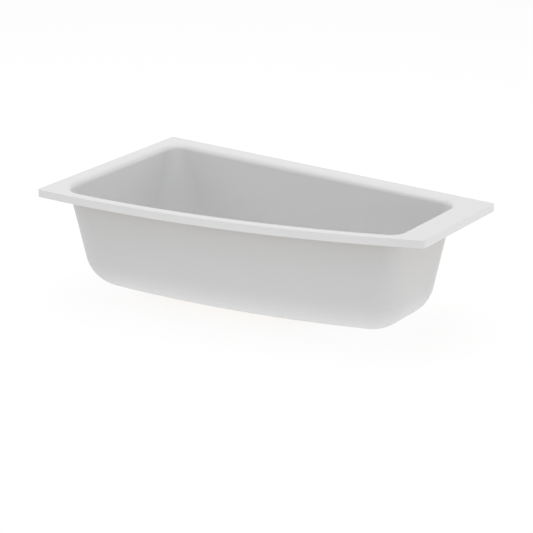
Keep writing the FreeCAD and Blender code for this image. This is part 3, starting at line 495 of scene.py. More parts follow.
# the sheet as one closed band: rows run from the drain hole over the floor, up the wall, over the rim and
# its lip, down the outside and back to the drain hole; columns run round the bath
def buildTub():
    counts = tub["counts"]
    shares = {kind: rows(0.0, 1.0, count)[:-1] for kind, count in counts.items()}
    cells = tub["holeCells"]
    window = rows(*tub["holeShares"], cells)
    shares["back"] = np.r_[0.0, window, rows(window[-1], 1.0, counts["back"] - cells - 2)[1:-1]]

    half, width = tub["length"] / 2, tub["wideEnd"] / 2
    centre, bow = frontBow()
    shelf, draft = tub["shelves"], tub["drafts"]

    edge = {"left": -half, "right": half, "back": width, "centre": centre, "radius": bow,
            "corners": tub["rimCorners"]}
    cornerLeft, cornerRight = edge["corners"][:2]
    edgeFirst = math.asin((cornerLeft - half - centre[0]) / (bow - cornerLeft))
    edgeLast = math.asin((half - cornerRight - centre[0]) / (bow - cornerRight))
    rim, rimOut = bowedLine(edge, edgeFirst, edgeLast, shares)

    top = {"left": shelf["left"] - half, "right": half - shelf["right"], "back": width - shelf["back"],
           "centre": centre, "radius": bow - shelf["front"], "corners": tub["topCorners"]}
    cornerLeft, cornerRight = top["corners"][:2]
    first = math.asin((top["left"] + cornerLeft - centre[0]) / (top["radius"] - cornerLeft))
    last = math.asin((top["right"] - cornerRight - centre[0]) / (top["radius"] - cornerRight))
    lowLeft, lowRight = top["left"] + draft["left"], top["right"] - draft["right"]
    cornerLeft, cornerRight = tub["lowCorners"][:2]
    taken = cornerRight * (1 - math.sin(last)) + cornerLeft * (1 + math.sin(first))
    lowBow = (lowRight - lowLeft - taken) / (math.sin(last) - math.sin(first))
    lowX = lowLeft + cornerLeft - (lowBow - cornerLeft) * math.sin(first)
    middle = (first + last) / 2
    shift = lowBow - top["radius"] + draft["front"] + (lowX - centre[0]) * math.sin(middle)
    low = {"left": lowLeft, "right": lowRight, "back": top["back"] - draft["back"], "radius": lowBow,
           "centre": np.array([lowX, centre[1] + shift / math.cos(middle)]), "corners": tub["lowCorners"]}
    topLine, out = bowedLine(top, first, last, shares)
    lowLine, out = bowedLine(low, first, last, shares)
    inner = Wall(topLine, lowLine, out, tub["draftDepth"], tub["wallSheet"])
    outer = Wall(topLine, lowLine, out, tub["draftDepth"], 0.0)

    tilt = np.array([tub["floorFall"], 0.0, 1.0]) / math.hypot(1.0, tub["floorFall"])
    under = np.array([0.0, 0.0, tub["floorLevel"]])
    sheet = tub["wallSheet"]
    above = under + sheet * tilt
    rimTop, rimLow = tub["rimTop"] * up, (tub["rimTop"] - tub["rimSheet"]) * up
    steps = tub["rollSteps"]
    inFloor, inFillet = inner.roll(tub["floorRound"] - sheet, -1, above, tilt, steps["inFloor"])
    inMouth, inEdge = inner.roll(tub["innerEdge"], 1, rimTop, -up, steps["inEdge"])
    outFloor, outFillet = outer.roll(tub["floorRound"], -1, under, tilt, steps["outFloor"])
    outMouth, outEdge = outer.roll(tub["underEdge"], 1, rimLow, -up, steps["outEdge"])

    # dish round the drain: from its flat seat to the sloping floor on a smooth step
    drain = np.array(tub["drain"])

    def dish(mouth, plane, level, ring):
        flat, begin, end, count = ring
        seatRadius = tub["seatRadius"]
        radii = np.r_[tub["drainHole"], flat, rows(seatRadius + begin, seatRadius + end, count)]
        spots = drain + radii[:, None, None] * unit(mouth[:, :2] - drain)
        slope = plane[2] - tub["floorFall"] * (spots[..., 0] - plane[0])
        step = np.clip((radii - radii[2]) / (radii[-1] - radii[2]), 0, 1)[:, None]
        step = step * step * (3 - 2 * step)
        return np.dstack([spots, level + step * (slope - level)])

    inDish = dish(inFillet[-1], above, tub["seat"], tub["inSeat"])
    outDish = dish(outFillet[-1], under, tub["seat"] - sheet, tub["outSeat"])
    count, crowd = tub["inPlain"]
    inPlain = inDish[-1] + rows(0.0, 1.0, count)[1:-1, None, None] ** crowd * (inFillet[-1] - inDish[-1])
    share = rows(0.0, 1.0, tub["outPlain"])[1:-1, None, None]
    outPlain = outDish[-1] + share * (outFillet[-1] - outDish[-1])

    # wall heights, with even rows across the overflow hole
    holeTop = (tub["overflowDepth"] - tub["holeSpan"]) / tub["draftDepth"]
    holeLow = (tub["overflowDepth"] + tub["holeSpan"]) / tub["draftDepth"]
    lowSteps, highSteps = tub["wallSteps"]

    def climb(wall, bottom, mouth):
        even = np.ones_like(bottom)
        lower = rows(0.0, 1.0, lowSteps)[:, None] * (holeLow * even - bottom) + bottom
        across = rows(holeLow, holeTop, cells)[1:-1, None] * even
        upper = rows(0.0, 1.0, highSteps)[:, None] * (mouth - holeTop) + holeTop * even
        return np.stack([wall.at(share) for share in np.concatenate([lower, across, upper])])

    inWall = climb(inner, inFloor, inMouth)
    outWall = climb(outer, outFloor, outMouth)[::-1]

    # rim top, then the lip as a path of (inset from the edge, height), its corners on small arcs
    edgeRound, lipLow = tub["edgeRound"], tub["rimTop"] - tub["lipDrop"]
    thick, soft, inside = tub["rimSheet"], tub["lipRound"], tub["lipInner"]
    bend = rows(0.0, math.pi / 2, 6)
    arcIn, arcOut = np.sin(bend), np.cos(bend)
    lip = np.concatenate([
        np.column_stack([edgeRound * (1 - arcIn), tub["rimTop"] - edgeRound * (1 - arcOut)]),
        np.column_stack([np.zeros(5), rows(tub["rimTop"] - 3 * edgeRound, lipLow + 3 * soft, 4)]),
        np.column_stack([soft * (1 - arcOut), lipLow + soft * (1 - arcIn)]),
        np.column_stack([thick - soft * (1 - arcIn), lipLow + soft * (1 - arcOut)]),
        np.column_stack([np.full(4, thick), rows(lipLow + 3 * soft, rimLow[2] - tub["lipClear"], 3)]),
        np.column_stack([thick + inside * (1 - arcOut), rimLow[2] - inside * (1 - arcIn)]),
    ])

    def ring(inset, z):
        return np.column_stack([rim - inset * rimOut, np.full(len(rim), z)])

    lipRows = np.stack([ring(inset, z) for inset, z in lip])

    def plain(start, stop, spread):
        return start + np.array(spread)[:, None, None] * (stop - start)

    rimRows = plain(inEdge[-1], lipRows[0], tub["rimSpread"])
    underRows = plain(lipRows[-1], outEdge[-1], tub["underSpread"])
    parts = [inDish, inPlain, inFillet[::-1][:-1], inWall[:-1], inEdge, rimRows, lipRows, underRows,
             outEdge[::-1][:-1], outWall[:-1], outFillet, outPlain[::-1], outDish[::-1]]
    starts = np.cumsum([0] + [len(part) for part in parts])
    grid = np.concatenate(parts)
    count, columns = grid.shape[:2]
    normals = gridNormals(grid, True, True)
    faces = gridFaces(count, columns, True, True)

    # overflow hole: a window of cells is left out of both walls, a ring closes in to a circle on each, and a
    # bore joins them
    column = 3 * counts["corner"] + counts["front"] + counts["right"] + 1
    inRow, outRow, backRow = starts[3] + lowSteps, starts[9] + highSteps, starts[7]
    forth, back = np.arange(cells), np.arange(cells, 0, -1)
    along = np.r_[forth, [cells] * cells, back, [0] * cells]
    over = np.r_[[0] * cells, forth, [cells] * cells, back]
    inSpot = (inRow + along) * columns + column + over
    outSpot = (outRow + cells - along) * columns + column + over
    for row in (inRow, outRow):
        faces[row:row + cells, column:column + cells] = -1
    points, normals = grid.reshape(-1, 3), normals.reshape(-1, 3)
    inward = unit(np.array([0.0, -1.0, draft["back"] / tub["draftDepth"]]))
    inHub = np.array(tub["overflow"])
    outHub = inHub + sheet * inward[1] * inward
    loops, rings = [inSpot], []
    for spot, hub, spread in ((inSpot, inHub, (0.5, 1.0)), (outSpot, outHub, (1.0, 0.5))):
        circle = hub + tub["overflowHole"] * unit(points[spot] - hub)
        rings += [points[spot] + share * (circle - points[spot]) for share in spread]
    around = 4 * cells
    loops += [len(points) + around * k + np.arange(around) for k in range(4)] + [outSpot]
    strips = [np.stack([a, np.roll(a, -1), np.roll(b, -1), b], 1) for a, b in zip(loops, loops[1:])]
    points = np.concatenate([points] + rings)
    normals = np.concatenate([normals, np.repeat([inward, -inward], 2 * around, 0)])
    faces = faces.reshape(-1, 4)
    quads = np.concatenate([faces[faces[:, 0] >= 0]] + strips)
    print("bath shell:", len(quads), "faces")
    # the sheet's back, the resin whose greyer colour is painted shade, runs from under the rim to the drain,
    # and round the outer half of the overflow hole
    rowOf = np.repeat(np.arange(count), columns)
    backing = np.r_[rowOf >= backRow, np.repeat([0, 1], 2 * around)].astype(float)
    makePiece("bathShell", "tub_shell", (points, normals, quads), backing=backing)


buildTub()


# place of a piece: local Z is its axis, local X lies across it
class Seat:
    def __init__(self, origin, axis, across):
        self.origin = np.array(origin, float)
        self.axis = unit(np.array(axis, float))
        across = np.array(across, float)
        self.across = unit(across - (across @ self.axis) * self.axis)
        self.beside = np.cross(self.axis, self.across)

    def put(self, x, y, z):
        x, y, z = (part[..., None] for part in np.broadcast_arrays(x, y, z))
        return self.origin + x * self.across + y * self.beside + z * self.axis

    def at(self, x, y, z):
        return Seat(self.put(x, y, z), self.axis, self.across)


# line through corners (a, b, rounding): each corner is an arc that touches both of its sides, and an arc
# point is its middle plus a direction swung evenly from the first touch to the second; an open line keeps
# its two ends
def softLine(corners, closed=True, steps=4):
    corner = np.array(corners, float)
    spot, rounding = corner[:, :2], corner[:, 2:]
    arrive, leave = unit(spot - np.roll(spot, 1, 0)), unit(np.roll(spot, -1, 0) - spot)
    swing = np.arccos(np.clip((arrive * leave).sum(1, keepdims=True), -1, 1))
    reach = rounding * np.tan(swing / 2)
    middle = spot + unit(leave - arrive) * rounding / np.maximum(np.cos(swing / 2), 1e-9)
    begin, end = spot - reach * arrive - middle, spot + reach * leave - middle
    share = rows(0.0, 1.0, steps)[:, None, None]
    weight = np.maximum(np.sin(swing), 1e-9)
    arcs = middle + (np.sin((1 - share) * swing) * begin + np.sin(share * swing) * end) / weight
    arcs = np.swapaxes(arcs, 0, 1)
    if closed:
        return arcs.reshape(-1, 2)
    return np.concatenate([spot[:1], arcs[1:-1].reshape(-1, 2), spot[-1:]])


def ringLine(bore, radius, low, high, rounding):
    return softLine([(r, z, rounding) for r, z in ((bore, low), (radius, low), (radius, high), (bore, high))])


# turned surface: radius (cos u, sin u) across the axis and height along it, u once round; shape bends both
# by angle
def turned(seat, line, closed, columns=96, shape=None):
    angle = np.arange(columns) * 2 * math.pi / columns
    radius, height = line[:, :1] + 0 * angle, line[:, 1:] + 0 * angle
    if shape:
        radius, height = shape(radius, height, angle)
    return patch(seat.put(radius * np.cos(angle), radius * np.sin(angle), height), closed, True)


# plate on a closed level line: the line is drawn in by edge (1 - sin v) while the height turns from top to
# bottom, and both faces close to the middle
def plate(seat, line, low, high, edge):
    ahead = unit(np.roll(line, -1, 0) - np.roll(line, 1, 0))
    out = np.column_stack([ahead[:, 1], -ahead[:, 0]])
    swing = rows(0.0, math.pi / 2, 4)
    fall = edge * (1 - np.cos(swing))
    inset = edge * (1 - np.sin(np.r_[swing, swing[::-1]]))
    height = np.r_[high, high - fall, low + fall[::-1], low][:, None]
    middle = np.broadcast_to(line.mean(0), (1, *line.shape))
    flat = np.concatenate([middle, line - inset[:, None, None] * out, middle])
    return patch(seat.put(flat[..., 0], flat[..., 1], height), False, True)


def rectangle(x0, y0, x1, y1, rounding):
    return softLine([(x, y, rounding) for x, y in ((x0, y0), (x1, y0), (x1, y1), (x0, y1))])


# closed section carried along a path: path + a sideways + b upward for each section point (a, b)
def carried(section, path, sideways, upward):
    return path[:, None] + section[..., :1] * sideways[:, None] + section[..., 1:] * upward[:, None]


# branch of a round vessel: rows run from its mouth back along the outside, spread on a small fillet onto the
# vessel, and go forward again in the bore; on the vessel the height is the root of R squared less (r sin u)
# squared, and the fillet and bore sink a little into it
joint = {"clear": 0.5, "filletSink": 0.2, "boreSink": 2.0}


def branch(seat, vessel, outside, bore, fillet, columns=72):
    angle = np.arange(columns) * 2 * math.pi / columns
    swing = rows(math.pi / 2, 0.0, 6)
    last = outside[-1][1]
    mouth, foot = (outside[0][0], bore, 0.0), (vessel + fillet + joint["clear"], last, 0.0)
    outer = softLine([mouth, *outside, foot], False)
    spread = last + fillet * (1 - np.sin(swing))
    lift = fillet * (1 - np.cos(swing)) - joint["filletSink"]
    radius = np.r_[outer[:, 1], spread, bore][:, None]
    side = np.r_[spread, bore][:, None] * np.sin(angle)
    onVessel = np.sqrt(vessel ** 2 - side ** 2) + np.r_[lift, -joint["boreSink"]][:, None]
    height = np.concatenate([outer[:, :1] + 0 * angle, onVessel])
    return patch(seat.put(radius * np.cos(angle), radius * np.sin(angle), height), True, True)


# share of rib over groove round a piece: a cosine with flattened tops and floors
def ribs(angle, count):
    return np.clip(0.5 + 1.3 * np.cos(count * angle), 0.0, 1.0)


def ribbed(count, over, depth):
    return lambda radius, height, angle: (radius - depth * (1 - ribs(angle, count)) * (radius > over), height)


# hub on three spokes across a bore
spoke = {"turns": (0.0, 120.0, 240.0), "half": 1.5, "edge": 0.4, "hubEdge": 0.6}


def spider(seat, hub, reach, low, high):
    half, edge = spoke["half"], spoke["edge"]
    outline = rectangle(hub[0] + half, -half, reach, half, edge)
    arms = []
    for turn in np.radians(spoke["turns"]):
        way = math.cos(turn) * seat.across + math.sin(turn) * seat.beside
        arms.append(plate(Seat(seat.origin, seat.axis, way), outline, low, high, edge))
    return [turned(seat, ringLine(*hub, low, high, spoke["hubEdge"]), True, 48), *arms]


# waste in the floor: heights from its seat
waste = {
    "seat": (360.0, 150.0, 59.362), "axisDrop": 31.0,
    "flange": [(21.0, -16.0, 0.5), (24.0, -16.0, 0.5), (24.0, 2.0, 0.5), (36.0, 2.0, 0.4), (36.0, 3.5, 0.8),
               (33.0, 5.0, 1.0), (28.0, 5.0, 0.5), (28.0, 4.0, 0.3), (21.0, 4.0, 1.2)],
    "hub": (3.1, 7.0), "spokeReach": 22.5, "hubLevels": (-13.0, -7.0),
    "flangeSeal": (26.0, 33.0, 0.0, 2.0, 0.5), "bodySeal": (26.0, 38.0, -9.0, -6.0, 0.8),
    "body": [(0.0, -49.0, 0.0), (28.0, -49.0, 2.0), (28.0, -16.3, 0.5), (24.1, -16.3, 0.3), (24.1, -9.0, 0.4),
             (38.0, -9.0, 0.5), (38.0, -13.0, 0.8), (32.0, -13.0, 1.2), (32.0, -53.0, 3.0),
             (0.0, -53.0, 0.0)],
    "vessel": 32.0, "outlet": [(61.5, 20.0, 0.6)], "outletBore": 17.5, "outletFillet": 1.5,
    "inlet": [(60.0, 14.0, 0.6)], "inletBore": 11.0, "inletFillet": 2.5,
}


def buildWaste():
    seat = Seat(waste["seat"], (0, 0, 1), (1, 0, 0))
    spokes = spider(seat, waste["hub"], waste["spokeReach"], *waste["hubLevels"])
    makePiece("wasteFlange", "drain_flange", turned(seat, softLine(waste["flange"]), True), *spokes)
    makePiece("wasteFlangeSeal", "flange_seal", turned(seat, ringLine(*waste["flangeSeal"]), True))
    makePiece("wasteBodySeal", "body_seal", turned(seat, ringLine(*waste["bodySeal"]), True))
    heart = seat.put(0.0, 0.0, -waste["axisDrop"])
    outlet = branch(Seat(heart, (-1, 0, 0), (0, 0, 1)), waste["vessel"], waste["outlet"],
                    waste["outletBore"], waste["outletFillet"])
    inlet = branch(Seat(heart, (0, 1, 0), (0, 0, 1)), waste["vessel"], waste["inlet"],
                   waste["inletBore"], waste["inletFillet"])
    makePiece("wasteBody", "drain_body", turned(seat, softLine(waste["body"], False), False), outlet, inlet)


# pop-up plug: a low dome on a rubber washer and a stem
plug = {
    "radius": 27.0, "under": 5.55, "edge": 7.95, "crown": 2.0, "lip": 0.7, "groove": (22.0, 0.8, 0.35),
    "seal": (12.0, 26.0, 4.05, 5.55, 0.6),
    "stem": [(0.0, 5.55, 0.0), (11.7, 5.55, 0.3), (11.7, 4.05, 0.3), (3.0, 4.05, 0.6), (3.0, -36.0, 0.8),
             (0.0, -36.0, 0.0)],
}


def buildPlug():
    # dome height = edge + crown (1 - (r / R) squared), with a fine turned groove near its edge
    seat = Seat(waste["seat"], (0, 0, 1), (1, 0, 0))
    radius = rows(0.0, plug["radius"] - plug["lip"], 60)
    dome = plug["edge"] + plug["crown"] * (1 - (radius / plug["radius"]) ** 2)
    place, wide, deep = plug["groove"]
    dome -= deep * np.exp(-((radius - place) / wide) ** 4)
    rim = softLine([(radius[-2], dome[-2], 0.0), (plug["radius"], plug["edge"], plug["lip"]),
                    (plug["radius"], plug["under"], plug["lip"]), (0.0, plug["under"], 0.0)], False)
    line = np.concatenate([np.column_stack([radius, dome])[:-2], rim])
    makePiece("plugCap", "plug_cap", turned(seat, line, False))
    makePiece("plugSeal", "plug_seal", turned(seat, ringLine(*plug["seal"]), True))
    makePiece("plugStem", "plug_stem", turned(seat, softLine(plug["stem"], False), False, 48))


# overflow on the back wall: heights along the wall's normal, into the basin
overflow = {
    "seat": tub["overflow"], "axis": (0.0, -0.999516, 0.031096),
    "flange": [(17.0, -18.0, 0.5), (20.0, -18.0, 0.5), (20.0, 2.0, 0.4), (33.0, 2.0, 0.4), (31.5, 5.0, 1.0),
               (17.0, 5.0, 1.0)],
    "hub": (4.05, 7.0), "spokeReach": 18.5, "hubLevels": (-1.0, 5.0),
    "frontSeal": (22.0, 30.0, 0.0, 2.0, 0.5), "backSeal": (22.0, 30.0, -7.997, -5.997, 0.5),
    "body": [(0.0, -42.0, 0.0), (26.0, -42.0, 2.0), (26.0, -18.3, 0.5), (20.1, -18.3, 0.3),
             (20.1, -7.997, 0.4), (34.0, -7.997, 0.5), (34.0, -11.997, 0.8), (30.0, -11.997, 1.2),
             (30.0, -46.0, 3.0), (0.0, -46.0, 0.0)],
    "vessel": 30.0, "branch": [(60.0, 14.0, 0.6)], "bore": 11.0, "branchFillet": 2.0, "branchLevel": -30.0,
    "knob": [(0.0, 26.0, 0.0), (31.0, 26.0, 2.5), (34.0, 23.0, 2.5), (34.0, 9.0, 0.8), (31.0, 9.0, 0.8),
             (31.0, 20.0, 1.0), (9.0, 20.0, 1.0), (9.0, 8.95, 0.5), (4.05, 8.95, 0.3), (4.05, 20.0, 0.3),
             (0.0, 20.0, 0.0)],
    "grip": (26.0, 4.5, 4.3), "gripLevels": (22.5, 32.0), "gripEdge": 2.4,
    "shaft": [(0.0, 19.95, 0.0), (4.0, 19.95, 0.4), (4.0, -37.0, 0.4), (0.0, -37.0, 0.0)],
    "drum": [(4.05, -36.0, 0.3), (16.0, -36.0, 0.6), (16.0, -33.0, 0.4), (13.0, -33.0, 0.5),
             (13.0, -27.0, 0.5), (16.0, -27.0, 0.4), (16.0, -24.0, 0.6), (4.05, -24.0, 0.3)],
}
pipe = {
    "radius": 14.0, "bore": 11.0, "bend": 60.0, "gap": 0.3, "reach": 60.0, "corner": (360.0, 385.341, 28.362),
    "wasteEnd": (360.0, 210.0, 28.362), "endSoft": 0.6, "straight": 60.0,
    "nut": [(14.1, -13.0, 0.4), (16.0, -13.0, 0.6), (18.0, -10.6, 0.4), (19.0, -9.8, 0.4), (19.0, 10.0, 0.4),
            (18.0, 10.8, 0.4), (18.0, 13.0, 0.6), (14.1, 13.0, 0.4)],
    "nutRibs": (16, 18.5, 1.5),
}


def buildOverflow():
    seat = Seat(overflow["seat"], overflow["axis"], (1, 0, 0))
    spokes = spider(seat, overflow["hub"], overflow["spokeReach"], *overflow["hubLevels"])
    makePiece("overflowFlange", "overflow_flange", turned(seat, softLine(overflow["flange"]), True), *spokes)
    for side in ("Front", "Back"):
        seal = turned(seat, ringLine(*overflow[side.lower() + "Seal"]), True)
        makePiece(f"overflow{side}Seal", f"overflow_{side.lower()}_seal", seal)
    long, half, end = overflow["grip"]
    outline = rectangle(-long, -half, long, half, end)
    grip = plate(seat, outline, *overflow["gripLevels"], overflow["gripEdge"])
    makePiece("overflowKnob", "overflow_knob", turned(seat, softLine(overflow["knob"], False), False), grip)
    makePiece("knobShaft", "knob_shaft", turned(seat, softLine(overflow["shaft"], False), False, 48))
    makePiece("cableDrum", "cable_drum", turned(seat, softLine(overflow["drum"]), True))

    # pipe: down the wall, round one bend and level to the waste; the bend's arc touches both runs
    corner, stop = np.array(pipe["corner"]), np.array(pipe["wasteEnd"])
    heart = seat.put(0.0, 0.0, overflow["branchLevel"])
    down, level = unit(corner - heart), unit(stop - corner)
    arm = branch(Seat(heart, down, overflow["axis"]), overflow["vessel"], overflow["branch"],
                 overflow["bore"], overflow["branchFillet"])
    makePiece("overflowBody", "overflow_body", turned(seat, softLine(overflow["body"], False), False), arm)
    nutTop = heart + pipe["reach"] * down
    start, stop = nutTop + pipe["gap"] * down, stop - pipe["gap"] * level
    swing = math.acos(down @ level)
    tangent = pipe["bend"] * math.tan(swing / 2)
    middle = corner + unit(level - down) * pipe["bend"] / math.cos(swing / 2)
    begin, end = corner - tangent * down - middle, corner + tangent * level - middle
    share = rows(0.0, 1.0, 40)[:, None]
    arc = middle + (np.sin((1 - share) * swing) * begin + np.sin(share * swing) * end) / math.sin(swing)
    soft = pipe["endSoft"]
    drop = [start, start + soft * down, start + pipe["straight"] * down]
    run = np.concatenate([drop, arc, [stop - soft * level, stop]])
    swung = (np.sin((1 - share) * swing) * down + np.sin(share * swing) * level) / math.sin(swing)
    ahead = np.concatenate([[down] * 3, swung, [level] * 2])
    flat = unit(np.cross(down, level))
    side = np.cross(flat, ahead)
    angle = np.arange(72) * 2 * math.pi / 72
    circle = np.column_stack([np.cos(angle), np.sin(angle)])
    outer = np.full(len(run), pipe["radius"])
    outer[[0, -1]] -= soft
    along = np.r_[len(run) - 1:-1:-1, 0:len(run)]
    radius = np.r_[outer[::-1], np.full(len(run), pipe["bore"])][:, None, None]
    tube = carried(radius * circle, run[along], side[along], np.broadcast_to(flat, side.shape)[along])
    makePiece("overflowPipe", "overflow_pipe", patch(tube, True, True))
    nut, shape = softLine(pipe["nut"]), ribbed(*pipe["nutRibs"])
    topSeat = Seat(nutTop, down, overflow["axis"])
    lowSeat = Seat(pipe["wasteEnd"], (0, 1, 0), (0, 0, 1))
    makePiece("overflowNutTop", "overflow_nut_top", turned(topSeat, nut, True, 192, shape))
    makePiece("overflowNutBottom", "overflow_nut_bottom", turned(lowSeat, nut, True, 192, shape))


# trap beside the waste: heights from the underside of its cup
trap = {
    "seat": (240.0, 150.0, 4.962), "axisLevel": 23.4, "vessel": 42.0, "bore": 17.5,
    "cup": [(0.0, 3.0, 0.0), (39.0, 3.0, 2.0), (39.0, 46.0, 0.4), (42.0, 46.0, 0.4), (42.0, 0.0, 3.0),
            (0.0, 0.0, 0.0)],
    "inlet": [(58.0, 20.0, 0.6)], "inletFillet": 2.5,
    "outlet": [(150.0, 20.0, 0.6), (80.0, 20.0, 0.8), (80.0, 22.5, 1.2)], "outletFillet": 0.8,
    "seal": (39.0, 42.0, 46.0, 48.0, 0.5), "lidRibs": (48, 43.0, 0.9),
    "lid": [(0.0, 52.0, 0.0), (26.0, 52.0, 0.4), (27.0, 51.2, 0.4), (29.0, 51.2, 0.4), (30.0, 52.0, 0.4),
            (44.0, 52.0, 0.8), (44.0, 48.0, 0.5), (0.0, 48.0, 0.0)],
    "nutMiddle": (298.5, 150.0, 28.362), "nutRibs": (20, 25.5, 1.6),
    "nut": [(20.1, -14.0, 0.4), (24.8, -14.0, 0.6), (24.8, -11.8, 0.4), (26.0, -11.0, 0.4), (26.0, 11.0, 0.4),
            (24.8, 11.8, 0.4), (24.8, 14.0, 0.6), (20.1, 14.0, 0.4)],
}


def buildTrap():
    seat = Seat(trap["seat"], (0, 0, 1), (1, 0, 0))
    heart = seat.put(0.0, 0.0, trap["axisLevel"])
    inlet = branch(Seat(heart, (1, 0, 0), (0, 0, 1)), trap["vessel"], trap["inlet"],
                   trap["bore"], trap["inletFillet"])
    outlet = branch(Seat(heart, (0, 1, 0), (0, 0, 1)), trap["vessel"], trap["outlet"],
                    trap["bore"], trap["outletFillet"])
    makePiece("trapBody", "trap_body", turned(seat, softLine(trap["cup"], False), False), inlet, outlet)
    lid = turned(seat, softLine(trap["lid"], False), False, 288, ribbed(*trap["lidRibs"]))
    makePiece("trapLid", "trap_lid", lid)
    makePiece("trapLidSeal", "trap_lid_seal", turned(seat, ringLine(*trap["seal"]), True))
    nutSeat = Seat(trap["nutMiddle"], (1, 0, 0), (0, 0, 1))
    nut = turned(nutSeat, softLine(trap["nut"]), True, 200, ribbed(*trap["nutRibs"]))
    makePiece("trapUnionNut", "trap_union_nut", nut)


# strips under the rim, board and leg rails; the floor's frame slopes with the basin
timberwork = {
    "rounding": 1.2, "edge": 1.0, "frontWidth": 20.0, "frontSteps": 80, "frontEnd": 0.9, "frontRound": 0.1,
}
board = {
    "corners": [(-545.0, -180.0), (185.0, -70.0), (185.0, 195.0), (-545.0, 195.0)],
    "rounding": 4.0, "thick": 12.0, "edge": 0.8,
}
rail = {
    "middle": [(-29.0, -1.0), (-14.0, -1.0), (-14.0, -23.0), (14.0, -23.0), (14.0, -1.0), (29.0, -1.0)],
    "bend": 2.6, "sheet": 2.0, "back": 335.0, "runs": {"wide": (-470.0, -78.0), "narrow": (150.0, 32.0)},
    "soft": 0.35,
}
slope = Seat((0.0, 0.0, tub["floorLevel"]), (tub["floorFall"], 0.0, 1.0), (1.0, 0.0, -tub["floorFall"]))


def buildTimber():
    # straight strips are plates; the front strip is a section carried along x between two arcs about the
    # bow's centre
    level = Seat((0.0, 0.0, 0.0), (0, 0, 1), (1, 0, 0))
    edge, rounding = timberwork["edge"], timberwork["rounding"]
    for side in ("Left", "Right", "Back"):
        low, high = nodeBox("rim_strip_" + side.lower())
        outline = rectangle(*low[:2], *high[:2], rounding)
        strip = plate(level, outline, low[2], high[2], edge)
        makePiece("rimStrip" + side, "rim_strip_" + side.lower(), strip)
    low, high = nodeBox("rim_strip_front")
    centre, bow = frontBow()
    outer = bow - tub["length"] / 2 - nodeBox("rim_strip_left")[0][0]
    count, end = timberwork["frontSteps"], timberwork["frontEnd"]
    x = np.r_[low[0], low[0], rows(low[0] + edge, high[0] - edge, count), high[0], high[0]][:, None]
    radii = (outer, outer - timberwork["frontWidth"])
    front, back = (centre[1] - np.sqrt(radius ** 2 - (x - centre[0]) ** 2) for radius in radii)
    whole = rectangle(-1.0, -1.0, 1.0, 1.0, timberwork["frontRound"])
    scale = np.r_[0.0, end, np.ones(count + 1), end, 0.0][:, None]
    y = (front + back) / 2 + (back - front) / 2 * scale * whole[:, 0]
    z = (low[2] + high[2]) / 2 + (high[2] - low[2]) / 2 * scale * whole[:, 1]
    makePiece("rimStripFront", "rim_strip_front", patch(level.put(x, y, z), False, True))
    corners = softLine([(*corner, board["rounding"]) for corner in board["corners"]])
    makePiece("baseBoard", "base_board", plate(slope, corners, -board["thick"], 0.0, board["edge"]))


def buildRails():
    # folded sheet: a middle line with round bends, set off by half the sheet to each side and carried along
    # the rail; the holes for the studs are left out
    middle = softLine([(*corner, rail["bend"]) for corner in rail["middle"]], False, 6)
    ends = np.pad(middle, ((1, 1), (0, 0)), mode="edge")
    ahead = unit(ends[2:] - ends[:-2])
    out = np.column_stack([-ahead[:, 1], ahead[:, 0]])
    offsets = rail["sheet"] / 2 - np.array([rail["soft"], 0.0, 0.0, rail["soft"]])[:, None, None]
    section = np.concatenate([middle + offsets * out, (middle - offsets * out)[:, ::-1]], 1)
    count = section.shape[1]
    j = np.arange(len(middle) - 1)
    cap = np.stack([j, j + 1, count - 2 - j, count - 1 - j], 1)
    for end, (x, front) in rail["runs"].items():
        y = np.array([rail["back"], rail["back"] - rail["soft"], front + rail["soft"], front])[:, None]
        grid = slope.put(x + section[..., 0], y, section[..., 1] - board["thick"])
        folded = patch(grid, False, True, [cap, 3 * count + cap[:, ::-1]])
        makePiece("legRail" + end.capitalize(), "leg_rail_" + end, folded)


# adjustable feet: threaded studs in hexagon nuts, on ribbed pads
feet = {
    "spots": {"wide_front": (-470.0, -50.0), "wide_back": (-470.0, 310.0),
              "narrow_front": (150.0, 60.0), "narrow_back": (150.0, 310.0)},
    "pad": [(0.0, 4.0, 0.0), (5.5, 4.0, 0.3), (5.5, 12.0, 0.5), (9.5, 12.0, 0.6), (11.625, 10.0, 0.0),
            (13.75, 8.0, 0.0), (15.875, 6.0, 0.0), (18.0, 4.0, 0.8), (18.0, 0.0, 0.8), (0.0, 0.0, 0.0)],
    "padRibs": 8, "padDip": 1.2, "padCone": (9.5, 8.5), "padBrim": 4.5,
    "stud": 5.0, "studToe": 4.3, "studTop": -13.5, "pitch": 1.5, "thread": 0.6,
    "weldNut": (-44.0, -36.0), "lockNut": (-49.0, -44.0), "nutCorner": 9.8, "nutBore": 5.1,
    "nutSoft": (0.4, 0.3, 0.2), "nutBevel": 0.9, "nutIn": 0.2, "nutOut": 0.1, "turnSteps": 8,
}


def hexNut(seat, low, high):
    # radius = the lesser of the chamfered profile and the hexagon's flat, apothem / cos(angle from the flat's
    # middle)
    bore, corner, bevel = feet["nutBore"], feet["nutCorner"], feet["nutBevel"]
    flat = corner * math.cos(math.pi / 6)
    near, far = flat - feet["nutIn"], corner + feet["nutOut"]
    boreSoft, faceSoft, sideSoft = feet["nutSoft"]
    line = softLine([(bore, low, boreSoft), (near, low, faceSoft), (far, low + bevel, sideSoft),
                     (far, high - bevel, sideSoft), (near, high, faceSoft), (bore, high, boreSoft)])

    def shape(radius, height, angle):
        return np.minimum(radius, flat / np.cos(angle % (math.pi / 3) - math.pi / 6)), height

    return turned(seat, line, True, 72, shape)


